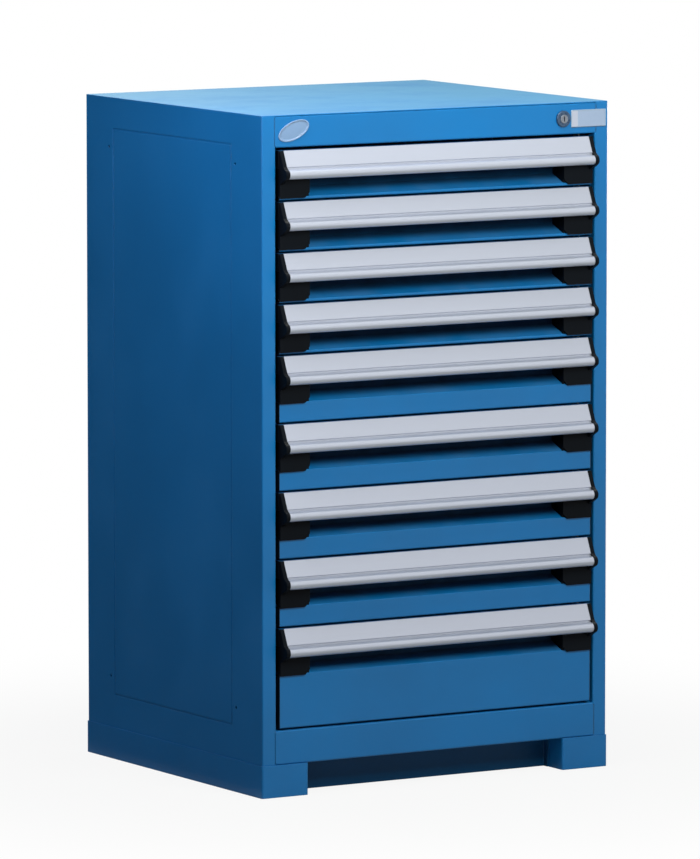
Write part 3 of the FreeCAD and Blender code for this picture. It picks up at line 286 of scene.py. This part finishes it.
def edge_rub_group():
    """Mask of outer edges, broken up where hands and tools have rubbed them."""
    group = new_group(
        "edge_rub",
        [("Vector", "NodeSocketVector", (0, 0, 0)), ("Radius", "NodeSocketFloat", 0.0012),
         ("Amount", "NodeSocketFloat", 0.5)],
        [("Mask", "NodeSocketFloat"), ("Normal", "NodeSocketVector")])
    source = add(group, "NodeGroupInput")
    target = add(group, "NodeGroupOutput")
    bevel = add(group, "ShaderNodeBevel", samples=6)
    group.links.new(source.outputs["Radius"], bevel.inputs["Radius"])
    flat = add(group, "ShaderNodeNewGeometry")
    dot = add(group, "ShaderNodeVectorMath", operation="DOT_PRODUCT")
    group.links.new(bevel.outputs["Normal"], dot.inputs[0])
    group.links.new(flat.outputs["True Normal"], dot.inputs[1])
    bend = math_node(group, "SUBTRACT", 1.0, dot.outputs["Value"])
    edge = smooth_step(group, bend, low=0.03, high=0.25)
    cloud = noise(group, source.outputs["Vector"], scale=38.0, detail=5.0, roughness=0.65)
    patches = smooth_step(group, cloud, low=0.42, high=0.66)
    rubbed = math_node(group, "MULTIPLY", edge, patches)
    mask = math_node(group, "MULTIPLY", rubbed, source.outputs["Amount"])
    group.links.new(mask, target.inputs["Mask"])
    group.links.new(bevel.outputs["Normal"], target.inputs["Normal"])
    return group


def dust_fall_group():
    """Mask of fine dust on faces that look up, and one of smudges on all faces."""
    group = new_group(
        "dust_fall",
        [("Vector", "NodeSocketVector", (0, 0, 0)), ("Amount", "NodeSocketFloat", 0.2)],
        [("Mask", "NodeSocketFloat"), ("Smudge", "NodeSocketFloat")])
    source = add(group, "NodeGroupInput")
    target = add(group, "NodeGroupOutput")
    flat = add(group, "ShaderNodeNewGeometry")
    parts = add(group, "ShaderNodeSeparateXYZ")
    group.links.new(flat.outputs["True Normal"], parts.inputs[0])
    up = smooth_step(group, parts.outputs["Z"], low=0.55, high=0.95)
    cloud = noise(group, source.outputs["Vector"], scale=14.0, detail=6.0, roughness=0.65)
    lying = math_node(group, "MULTIPLY", up, smooth_step(group, cloud, low=0.35, high=0.75))
    mask = math_node(group, "MULTIPLY", lying, source.outputs["Amount"])
    streak = noise(group, source.outputs["Vector"], scale=7.0, detail=5.0, roughness=0.7)
    smear = smooth_step(group, streak, low=0.4, high=0.8)
    group.links.new(mask, target.inputs["Mask"])
    group.links.new(smear, target.inputs["Smudge"])
    return group


def front_shade_group():
    """Masks of painted shade on a drawer front: dark at the back of its finger recess, and black on its
    side edges.
    """
    group = new_group(
        "front_shade",
        [("Vector", "NodeSocketVector", (0, 0, 0)), ("Amount", "NodeSocketFloat", 0.9)],
        [("Recess Shade", "NodeSocketFloat"), ("Edge Shade", "NodeSocketFloat")])
    source = add(group, "NodeGroupInput")
    target = add(group, "NodeGroupOutput")
    parts = add(group, "ShaderNodeSeparateXYZ")
    group.links.new(source.outputs["Vector"], parts.inputs[0])
    # Painted shade: darker from the recess's mouth to its back wall, in uneven patches
    rising = smooth_step(group, parts.outputs["Y"], RECESS_MOUTH_Y, RECESS_WALL_Y)
    front = math_node(group, "LESS_THAN", parts.outputs["Y"], RECESS_WALL_Y + SHEET / 2)
    inside = math_node(group, "MULTIPLY", rising, front)
    patches = noise(group, source.outputs["Vector"], scale=24.0, detail=4.0, roughness=0.6)
    uneven = raised(group, base=0.85, mask=patches, amount=0.3)
    shaded = math_node(group, "MULTIPLY", inside, uneven)
    recess = math_node(group, "MULTIPLY", shaded, source.outputs["Amount"])
    # Painted shade: the front's side edges, at its outer width, are painted black
    side = math_node(group, "ABSOLUTE", parts.outputs["X"])
    outer = math_node(group, "GREATER_THAN", side, FRONT_HALF - SHEET / 2)
    edge = math_node(group, "MULTIPLY", outer, front)
    group.links.new(recess, target.inputs["Recess Shade"])
    group.links.new(edge, target.inputs["Edge Shade"])
    return group


def drawn_lines_group():
    """Fine lines that run along X, as extrusion and brushing leave them."""
    group = new_group(
        "drawn_lines",
        [("Vector", "NodeSocketVector", (0, 0, 0)), ("Fineness", "NodeSocketFloat", 2200.0)],
        [("Height", "NodeSocketFloat"), ("Tone", "NodeSocketFloat")])
    source = add(group, "NodeGroupInput")
    target = add(group, "NodeGroupOutput")
    squeeze = add(group, "ShaderNodeVectorMath", operation="MULTIPLY")
    squeeze.inputs[1].default_value = (LINE_STRETCH, 1.0, 1.0)
    group.links.new(source.outputs["Vector"], squeeze.inputs[0])
    lines = noise(group, squeeze.outputs["Vector"], source.outputs["Fineness"], detail=2.0)
    bands = noise(group, squeeze.outputs["Vector"], scale=260.0, detail=3.0)
    tone = raised(group, math_node(group, "MULTIPLY", lines, 0.5), bands, amount=0.5)
    group.links.new(lines, target.inputs["Height"])
    group.links.new(tone, target.inputs["Tone"])
    return group


POWDER_SKIN = powder_skin_group()
EDGE_RUB = edge_rub_group()
DUST_FALL = dust_fall_group()
DRAWN_LINES = drawn_lines_group()
FRONT_SHADE = front_shade_group()


# Finishes


def blank_material(name):
    """Material with nothing but its output, its tree, and the output's surface socket."""
    material = bpy.data.materials.new(name)
    material.use_nodes = True
    tree = material.node_tree
    tree.nodes.clear()
    output = add(tree, "ShaderNodeOutputMaterial")
    return material, tree, output.inputs["Surface"]


def new_material(name):
    """Material with a Principled shader."""
    material, tree, surface = blank_material(name)
    shader = add(tree, "ShaderNodeBsdfPrincipled")
    tree.links.new(shader.outputs[0], surface)
    return material, tree, shader


def object_place(tree):
    """Object coordinate, which is the place in the frame, and moves with a drawer."""
    return add(tree, "ShaderNodeTexCoord").outputs["Object"]


def use(tree, group, vector, **values):
    """Group node placed in a material, fed by a vector, with its own values."""
    node = add(tree, "ShaderNodeGroup")
    node.node_tree = group
    tree.links.new(vector, node.inputs["Vector"])
    for key, value in values.items():
        node.inputs[key.replace("_", " ").title()].default_value = value
    return node


def relief(tree, shader, height, normal, strength, depth):
    """Bump from a height, laid over a normal and led into the shader."""
    bump = add(tree, "ShaderNodeBump")
    bump.inputs["Strength"].default_value = strength
    bump.inputs["Distance"].default_value = depth
    tree.links.new(height, bump.inputs["Height"])
    tree.links.new(normal, bump.inputs["Normal"])
    tree.links.new(bump.outputs["Normal"], shader.inputs["Normal"])


def powder_paint(name, base, rub, dust, rough, shine=0.5, shaded=False):
    """Powder-coated sheet with rubbed edges and light dust.

    A shaded one is for drawer fronts: painted shade darkens the back of its finger recess and blackens
    its side edges.
    """
    material, tree, shader = new_material(name)
    place = object_place(tree)
    skin = use(tree, POWDER_SKIN, place)
    edges = use(tree, EDGE_RUB, place, amount=rub)
    fall = use(tree, DUST_FALL, place, amount=dust)
    darker = tinted(base, PAINT_DARKER)
    lighter = tinted(base, PAINT_LIGHTER)
    tone = mix_colour(tree, skin.outputs["Tone"], darker, lighter)
    fleck = math_node(tree, "MULTIPLY", skin.outputs["Fleck"], FLECK_SHARE)
    flecked = mix_colour(tree, fleck, tone, PAINT_PALE)
    worn = mix_colour(tree, edges.outputs["Mask"], flecked, PAINT_PALE)
    colour = mix_colour(tree, fall.outputs["Mask"], worn, DUST)
    smeared = raised(tree, rough, fall.outputs["Smudge"], amount=0.10)
    dulled = raised(tree, smeared, fall.outputs["Mask"], DUST_ROUGHNESS)
    if shaded:
        # Painted shade: navy at the back of the finger recess and black on the side edges
        front = use(tree, FRONT_SHADE, place, amount=0.9)
        deep = mix_colour(tree, front.outputs["Recess Shade"], colour, RECESS_PAINTED_SHADE)
        colour = mix_colour(tree, front.outputs["Edge Shade"], deep, BLACK_PLASTIC_AND_PAINTED_SHADE)
        dulled = raised(tree, dulled, front.outputs["Recess Shade"], RECESS_ROUGHNESS)
    tree.links.new(colour, shader.inputs["Base Color"])
    tree.links.new(dulled, shader.inputs["Roughness"])
    shader.inputs["Specular IOR Level"].default_value = shine
    relief(tree, shader, skin.outputs["Height"], edges.outputs["Normal"], strength=0.35, depth=0.00006)
    return material


def anodised_aluminium():
    """Satin anodised extrusion with lines along its length."""
    material, tree, shader = new_material("handle_anodised")
    place = object_place(tree)
    lines = use(tree, DRAWN_LINES, place, fineness=2400.0)
    edges = use(tree, EDGE_RUB, place, radius=0.0006, amount=0.5)
    fall = use(tree, DUST_FALL, place, amount=0.08)
    tone = mix_colour(tree, lines.outputs["Tone"], ALUMINIUM_DARK, ALUMINIUM)
    lit = mix_colour(tree, ALUMINIUM_EVENNESS, tone, ALUMINIUM)
    bright = mix_colour(tree, edges.outputs["Mask"], lit, ALUMINIUM_RUBBED)
    tree.links.new(bright, shader.inputs["Base Color"])
    lined = raised(tree, HANDLE_ROUGHNESS, lines.outputs["Tone"], amount=0.12)
    smeared = raised(tree, lined, fall.outputs["Smudge"], amount=0.08)
    tree.links.new(smeared, shader.inputs["Roughness"])
    shader.inputs["Metallic"].default_value = HANDLE_METALLIC
    relief(tree, shader, lines.outputs["Height"], edges.outputs["Normal"], strength=0.25, depth=0.00003)
    return material


def moulded_plastic(name, base, worn, rough):
    """Moulded plastic or rubber with a fine spark texture and greyed edges."""
    material, tree, shader = new_material(name)
    place = object_place(tree)
    skin = use(tree, POWDER_SKIN, place, peel_scale=1500.0)
    edges = use(tree, EDGE_RUB, place, radius=0.0008, amount=0.35)
    fall = use(tree, DUST_FALL, place, amount=0.15)
    tone = mix_colour(tree, skin.outputs["Tone"], base, tinted(base, PLASTIC_LIGHTER))
    greyed = mix_colour(tree, edges.outputs["Mask"], tone, worn)
    dusty = mix_colour(tree, fall.outputs["Mask"], greyed, DUST)
    tree.links.new(dusty, shader.inputs["Base Color"])
    smeared = raised(tree, rough, fall.outputs["Smudge"], amount=0.12)
    tree.links.new(smeared, shader.inputs["Roughness"])
    shader.inputs["Specular IOR Level"].default_value = PLASTIC_SHINE
    relief(tree, shader, skin.outputs["Height"], edges.outputs["Normal"], strength=0.5, depth=0.00005)
    return material


def plated_steel(name, light, dark, rough, metallic):
    """Zinc or nickel plate with a small spangle and fine rolling lines."""
    material, tree, shader = new_material(name)
    place = object_place(tree)
    lines = use(tree, DRAWN_LINES, place, fineness=1400.0)
    edges = use(tree, EDGE_RUB, place, radius=0.0006, amount=0.6)
    fall = use(tree, DUST_FALL, place, amount=0.10)
    spangle = add(tree, "ShaderNodeTexVoronoi")
    spangle.inputs["Scale"].default_value = SPANGLE_SCALE
    tree.links.new(place, spangle.inputs["Vector"])
    cells = smooth_step(tree, spangle.outputs["Distance"], low=0.1, high=0.8)
    tone = mix_colour(tree, cells, dark, light)
    bright = mix_colour(tree, edges.outputs["Mask"], tone, BARE_METAL)
    tree.links.new(bright, shader.inputs["Base Color"])
    spangled = raised(tree, rough, cells, amount=0.12)
    smeared = raised(tree, spangled, fall.outputs["Smudge"], amount=0.10)
    tree.links.new(smeared, shader.inputs["Roughness"])
    shader.inputs["Metallic"].default_value = metallic
    relief(tree, shader, lines.outputs["Height"], edges.outputs["Normal"], strength=0.15, depth=0.00003)
    return material


# Floor and surround


def mirrored_rays(tree, path):
    """1 for rays that come from a mirroring or a clear surface."""
    return math_node(tree, "MAXIMUM", path.outputs["Is Glossy Ray"], path.outputs["Is Transmission Ray"])


def floor_material():
    """Pale floor: it takes the shadow near the cabinet and fades to white further out."""
    material, tree, surface = blank_material("studio_floor")
    diffuse = add(tree, "ShaderNodeBsdfDiffuse")
    diffuse.inputs["Color"].default_value = (*FLOOR_GREY, 1.0)
    white = add(tree, "ShaderNodeEmission")
    mix = add(tree, "ShaderNodeMixShader")
    distance = add(tree, "ShaderNodeVectorMath", operation="LENGTH")
    tree.links.new(object_place(tree), distance.inputs[0])
    path = add(tree, "ShaderNodeLightPath")
    far = smooth_step(tree, distance.outputs["Value"], *SEEN_FADE)
    whitened = raised(tree, FLOOR_WHITE_NEAR, far, FLOOR_WHITE_RISE)
    seen = math_node(tree, "MULTIPLY", whitened, path.outputs["Is Camera Ray"])
    farther = smooth_step(tree, distance.outputs["Value"], *MIRRORED_FADE)
    mirrored = math_node(tree, "MULTIPLY", farther, mirrored_rays(tree, path))
    tree.links.new(math_node(tree, "MAXIMUM", seen, mirrored), mix.inputs[0])
    tree.links.new(diffuse.outputs[0], mix.inputs[1])
    tree.links.new(white.outputs[0], mix.inputs[2])
    tree.links.new(mix.outputs[0], surface)
    return material


def make_world():
    """Even studio surround, white to the camera and in mirrors, and dim as a light."""
    world = bpy.data.worlds.new("studio")
    bpy.context.scene.world = world
    world.use_nodes = True
    tree = world.node_tree
    tree.nodes.clear()
    output = add(tree, "ShaderNodeOutputWorld")
    shade = add(tree, "ShaderNodeBackground")
    shade.inputs["Color"].default_value = (1, 1, 1, 1)
    path = add(tree, "ShaderNodeLightPath")
    seen = math_node(tree, "MAXIMUM", path.outputs["Is Camera Ray"], mirrored_rays(tree, path))
    strength = raised(tree, SURROUND, seen, 1.0 - SURROUND)
    tree.links.new(strength, shade.inputs["Strength"])
    tree.links.new(shade.outputs[0], output.inputs["Surface"])


# Objects, lamps and camera


def link_object(name, data):
    """Object put into the scene."""
    made = bpy.data.objects.new(name, data)
    bpy.context.scene.collection.objects.link(made)
    return made


def mesh_object(name, mesh, materials):
    """Object made from a bmesh, which is freed, with its materials."""
    data = bpy.data.meshes.new(name)
    mesh.to_mesh(data)
    mesh.free()
    for material in materials:
        data.materials.append(material)
    return link_object(name, data)


def turn_towards(thing, direction):
    """Turn a lamp or a camera so that it looks along a direction."""
    thing.rotation_mode = "QUATERNION"
    thing.rotation_quaternion = direction.to_track_quat("-Z", "Y")


def area_lamp(name, place, aim, width, height, power, colour, mirrored=True):
    """Soft rectangular lamp that looks at a point. Metal mirrors it unless that is turned off."""
    data = bpy.data.lights.new(name, "AREA")
    data.shape = "RECTANGLE"
    data.size = width
    data.size_y = height
    data.energy = power
    data.color = colour
    lamp = link_object(name, data)
    lamp.location = place
    lamp.visible_camera = False
    lamp.visible_glossy = mirrored
    turn_towards(lamp, Vector(aim) - Vector(place))


def make_lamps():
    """Softboxes: the first four light what the photo shows, the last two the right side and the back."""
    area_lamp("front_softbox", (0.05, -1.7, 1.5), aim=(0.0, -0.27, 0.92), width=0.6, height=0.8,
              power=29.0, colour=(0.94, 1.0, 0.89), mirrored=False)
    area_lamp("left_softbox", (-0.95, -0.42, 1.26), aim=(-0.3, -0.1, 0.98), width=0.6, height=0.6,
              power=5.0, colour=(0.92, 0.92, 1.0))
    area_lamp("rear_fill", (0.6, 3.4, 2.6), aim=(0.0, 0.0, 0.9), width=2.4, height=1.6,
              power=15.0, colour=(0.96, 1.0, 1.0))
    area_lamp("top_softbox", (-0.35, -0.45, 2.2), aim=(-0.1, 0.0, 1.0), width=1.0, height=1.0,
              power=20.0, colour=(0.96, 1.0, 1.0))
    area_lamp("right_softbox", (2.4, 1.0, 0.85), aim=(0.25, 0.15, 0.60), width=1.0, height=0.5,
              power=26.0, colour=(1.0, 1.0, 1.0))
    area_lamp("back_softbox", (-0.5, 2.6, 0.85), aim=(0.0, 0.26, 0.60), width=1.0, height=0.5,
              power=22.0, colour=(1.0, 1.0, 1.0), mirrored=False)


def make_camera():
    """Camera at the photo's viewing angle."""
    data = bpy.data.cameras.new("camera")
    data.sensor_width = SENSOR
    data.lens = FOCAL_PIXELS / PHOTO_HEIGHT_PIXELS * SENSOR
    data.clip_start = CLIP_NEAR
    data.clip_end = CLIP_FAR
    camera = link_object("camera", data)
    camera.location = CAMERA_PLACE
    ahead = Vector((
        math.sin(CAMERA_YAW) * math.cos(CAMERA_PITCH),
        math.cos(CAMERA_YAW) * math.cos(CAMERA_PITCH),
        -math.sin(CAMERA_PITCH)))
    turn_towards(camera, ahead)
    bpy.context.scene.camera = camera


def make_floor():
    """Wide flat floor under the cabinet."""
    mesh = bmesh.new()
    bmesh.ops.create_grid(mesh, x_segments=2, y_segments=2, size=FLOOR_HALF)
    floor = mesh_object("floor", mesh, [floor_material()])


def make_card(name, material, width, length, place, turn):
    """Flat card that only shows in reflections, as a studio hangs beside what it photographs."""
    mesh = bmesh.new()
    bmesh.ops.create_grid(mesh, x_segments=1, y_segments=1, size=0.5)
    bmesh.ops.scale(mesh, vec=(width, length, 1.0), verts=mesh.verts)
    bmesh.ops.transform(mesh, matrix=Matrix.Translation(place) @ turn, verts=mesh.verts)
    card = mesh_object(name, mesh, [material])
    card.visible_camera = False
    card.visible_diffuse = False
    card.visible_shadow = False


def black_cloth():
    """Black cloth without shine."""
    material, _, shader = new_material("black_cloth")
    shader.inputs["Base Color"].default_value = (*CARD_BLACK, 1.0)
    shader.inputs["Roughness"].default_value = 1.0
    shader.inputs["Specular IOR Level"].default_value = 0.0
    return material


def pale_backdrop():
    """Backdrop that glows as a lit pale blue wall."""
    material, tree, surface = blank_material("pale_backdrop")
    glow = add(tree, "ShaderNodeEmission")
    glow.inputs["Color"].default_value = (*BACKDROP, 1.0)
    glow.inputs["Strength"].default_value = BACKDROP_GLOW
    tree.links.new(glow.outputs[0], surface)
    return material


def make_cards():
    """Black cards left of the cabinet keep its side deep; a pale one behind lights up its top."""
    cloth = black_cloth()
    lying = Matrix.Identity(4)
    facing_front = Matrix.Rotation(math.radians(90), 4, "X")
    facing_side = Matrix.Rotation(math.radians(90), 4, "Z") @ facing_front
    make_card("left_card", cloth, 8.0, 5.0, place=(-1.5, 2.2, 2.5), turn=facing_side)
    make_card("rear_left_card", cloth, 1.15, 2.6, place=(-0.93, 1.3, 1.3), turn=facing_front)
    make_card("left_floor_card", cloth, 1.2, 8.0, place=(-0.92, 2.2, 0.004), turn=lying)
    make_card("rear_backdrop", pale_backdrop(), 7.0, 4.0, place=(1.6, 3.9, 2.0), turn=facing_front)


# Finishes on the CAD pieces


def dress(node, material):
    """Give a CAD node its finish."""
    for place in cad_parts[node].material_slots:
        place.material = material


def dress_housing():
    """Casing, plinth, kick plate, floor sheet and uprights."""
    paint = powder_paint("housing_powder_coat", PAINT_BLUE, rub=0.5, dust=0.04, rough=0.38)
    inner = powder_paint("inner_powder_coat", PAINT_DEEP, rub=0.3, dust=0.10, rough=0.45)
    # The kick plate's paint is darkened as painted shade
    kick = powder_paint("kick_powder_coat_painted_shade", KICK_PAINTED_SHADE, rub=0.5, dust=0.12, rough=0.42, shine=0.2)
    for node in ("side_panel_left", "side_panel_right", "top_panel", "back_panel",
                 "header_rail", "sill_rail", "base_frame"):
        dress(node, paint)
    dress("kick_plate", kick)
    for node in ("bottom_panel", "upright_front_left", "upright_front_right",
                 "upright_rear_left", "upright_rear_right"):
        dress(node, inner)


def dress_drawers():
    """Drawers with their slides, and the zinc and rubber pieces inside the housing."""
    # The drawer paint carries painted shade in its finger recesses and on its side edges
    paint = powder_paint("drawer_powder_coat", PAINT_BLUE, rub=0.6, dust=0.07, rough=0.36, shaded=True)
    aluminium = anodised_aluminium()
    plastic = moulded_plastic("end_piece_plastic", BLACK_PLASTIC_AND_PAINTED_SHADE, BLACK_WORN, rough=0.42)
    rubber = moulded_plastic("buffer_rubber", RUBBER, BLACK_WORN, rough=0.65)
    zinc = plated_steel("slide_zinc_plate", ZINC, ZINC_DARK, rough=0.28, metallic=0.9)
    for number in range(1, DRAWERS + 1):
        dress("drawer_%d_body" % number, paint)
        dress("drawer_%d_handle" % number, aluminium)
        dress("drawer_%d_end_caps" % number, plastic)
        dress("carriage_%d" % number, zinc)
    for node in ("fixed_rails_left", "fixed_rails_right", "base_bolts", "lock_nut",
                 "lock_bar", "lock_bar_guides"):
        dress(node, zinc)
    dress("drawer_bumpers", rubber)


def dress_lock():
    """Lock barrel, its bezel painted dark blue as shade and as a reflection of the blue paint, and the
    brighter plug.
    """
    barrel = plated_steel("barrel_nickel_painted_shade", BEZEL_PAINTED_SHADE, BEZEL_PAINTED_SHADE_DARK, rough=0.26, metallic=0.9)
    plug = plated_steel("plug_nickel_plate", CHROME, CHROME_DARK, rough=0.32, metallic=0.7)
    dress("lock_barrel", barrel)
    dress("lock_plug", plug)


# Badge and name plate


def front_face(mesh):
    """Face that looks up and lies highest, which is the front one until the piece is stood up."""
    facing = [face for face in mesh.faces if face.normal.z > FLAT]
    return max(facing, key=lambda face: (round(face.calc_center_median().z, 6), face.calc_area()))


def is_upright(edge, thickness):
    """True for an edge that runs from the back of a plate to its front."""
    return abs(edge.verts[0].co.z - edge.verts[1].co.z) > thickness / 2


def round_over(mesh, edges, radius, segments):
    """Rounded edges."""
    bmesh.ops.bevel(mesh, geom=edges, affect="EDGES", offset=radius, offset_type="OFFSET",
                    segments=segments, profile=0.5, material=-1)


def inset(mesh, faces, width, sink):
    """Border of one width round each face, with the inside sunk below it."""
    bmesh.ops.inset_individual(mesh, faces=faces, thickness=width, depth=-sink)


def crown(mesh, face, rise, rings):
    """Shallow dome on a flat face, in rings that shrink towards its middle."""
    base = face.calc_center_median()
    for ring in range(1, rings + 1):
        before = 1.0 - (ring - 1) / (rings + 1)
        after = 1.0 - ring / (rings + 1)
        made = bmesh.ops.extrude_discrete_faces(mesh, faces=[face])
        face = made["faces"][0]
        shrink = after / before
        height = rise * (1.0 - after ** 2)
        for vert in face.verts:
            vert.co.x = base.x + (vert.co.x - base.x) * shrink
            vert.co.y = base.y + (vert.co.y - base.y) * shrink
            vert.co.z = base.z + height
    peak = bmesh.ops.poke(mesh, faces=[face])
    peak["verts"][0].co.z = base.z + rise


def finish_plate(name, mesh, node, materials, tilt=0.0):
    """Stand a plate up on the header in place of its CAD solid, turned in its plane by a tilt."""
    low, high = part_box(node)
    middle = ((low[0] + high[0]) / 2, high[1], (low[2] + high[2]) / 2)
    stand = Matrix.Rotation(math.radians(90), 4, "X")
    lean = Matrix.Rotation(-tilt, 4, "Y")
    bmesh.ops.transform(mesh, matrix=Matrix.Translation(middle) @ lean @ stand, verts=mesh.verts)
    bmesh.ops.recalc_face_normals(mesh, faces=mesh.faces)
    piece = mesh_object(name, mesh, materials)
    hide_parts(node)
    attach(piece, "cabinet")


def make_badge():
    """Oval badge: raised rim, sunk and domed field, no mark on it."""
    low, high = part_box("header_badge")
    thickness = high[1] - low[1]
    mesh = bmesh.new()
    bmesh.ops.create_cone(
        mesh, cap_ends=True, cap_tris=False, segments=BADGE_SEGMENTS, radius1=0.5, radius2=0.5, depth=1.0)
    bmesh.ops.scale(mesh, vec=(BADGE_LENGTH, BADGE_HEIGHT, thickness), verts=mesh.verts)
    bmesh.ops.translate(mesh, vec=(0, 0, thickness / 2), verts=mesh.verts)
    round_over(mesh, front_face(mesh).edges[:], BADGE_ROUND, segments=3)
    field = front_face(mesh)
    inset(mesh, [field], BADGE_RIM_WIDTH, sink=0.0)
    inset(mesh, [field], BADGE_STEP_WIDTH, BADGE_SINK)
    crown(mesh, field, BADGE_CROWN, BADGE_RINGS)
    border = BADGE_ROUND + BADGE_RIM_WIDTH
    field_half_length = BADGE_LENGTH / 2 - border
    field_half_height = BADGE_HEIGHT / 2 - border
    for face in mesh.faces:
        middle = face.calc_center_median()
        reach = (middle.x / field_half_length) ** 2 + (middle.y / field_half_height) ** 2
        face.material_index = FIELD if reach < 1.0 and face.normal.z > SHALLOW else RIM
        face.smooth = face.normal.z > SHALLOW
    rim = plated_steel("badge_rim", BADGE_RIM, BADGE_RIM, rough=0.46, metallic=0.1)
    inside = plated_steel("badge_field", BADGE_FIELD, BADGE_FIELD, rough=0.40, metallic=0.2)
    finish_plate("oval_badge", mesh, "header_badge", (rim, inside), tilt=BADGE_TILT)


def make_name_plate():
    """Plate beside the lock: raised border with a painted shadow along its lower edge, a pale tab and a
    wide bare field.
    """
    low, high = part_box("label_plate")
    width, thickness, height = (high[axis] - low[axis] for axis in range(3))
    mesh = bmesh.new()
    bmesh.ops.create_cube(mesh, size=1.0)
    bmesh.ops.scale(mesh, vec=(width, height, thickness), verts=mesh.verts)
    bmesh.ops.translate(mesh, vec=(0, 0, thickness / 2), verts=mesh.verts)
    corners = [edge for edge in mesh.edges if is_upright(edge, thickness)]
    round_over(mesh, corners, PLATE_CORNER, segments=5)
    round_over(mesh, front_face(mesh).edges[:], PLATE_ROUND, segments=2)
    sunk = front_face(mesh)
    inset(mesh, [sunk], PLATE_BORDER, sink=0.0)
    inset(mesh, [sunk], PLATE_STEP_WIDTH, PLATE_SINK)
    tab_end = PLATE_TAB_WIDTH - width / 2
    split = bmesh.ops.bisect_plane(
        mesh, geom=[sunk, *sunk.edges, *sunk.verts], plane_co=(tab_end, 0, 0), plane_no=(1, 0, 0))
    pads = [face for face in split["geom"] if isinstance(face, bmesh.types.BMFace)]
    inset(mesh, pads, PLATE_PAD_EDGE, -PLATE_PAD_RISE)
    for face in pads:
        face.material_index = FIELD if face.calc_center_median().x > tab_end else TAB
    # Painted shadow: the lower border is coloured dark, where a shadow would fall below the plate
    for face in mesh.faces:
        low_down = face.calc_center_median().y < PLATE_SHADE_WIDTH - height / 2
        if low_down and face.normal.z > FLAT and face.material_index == RIM:
            face.material_index = SHADE
    border = plated_steel("plate_border", PLATE_RIM, PLATE_RIM, rough=0.30, metallic=0.3)
    wide = plated_steel("plate_field", PLATE_FIELD, PLATE_FIELD, rough=0.42, metallic=0.2)
    tab = plated_steel("plate_tab", PLATE_TAB, PLATE_TAB, rough=0.42, metallic=0.1)
    shade = plated_steel("plate_shade", PLATE_SHADE, PLATE_SHADE, rough=0.50, metallic=0.1)
    finish_plate("name_plate", mesh, "label_plate", (border, wide, tab, shade))


dress_housing()
dress_drawers()
dress_lock()
make_badge()
make_name_plate()
make_floor()
make_world()
make_camera()
make_cards()
make_lamps()

bpy.context.scene.view_settings.view_transform = "Standard"
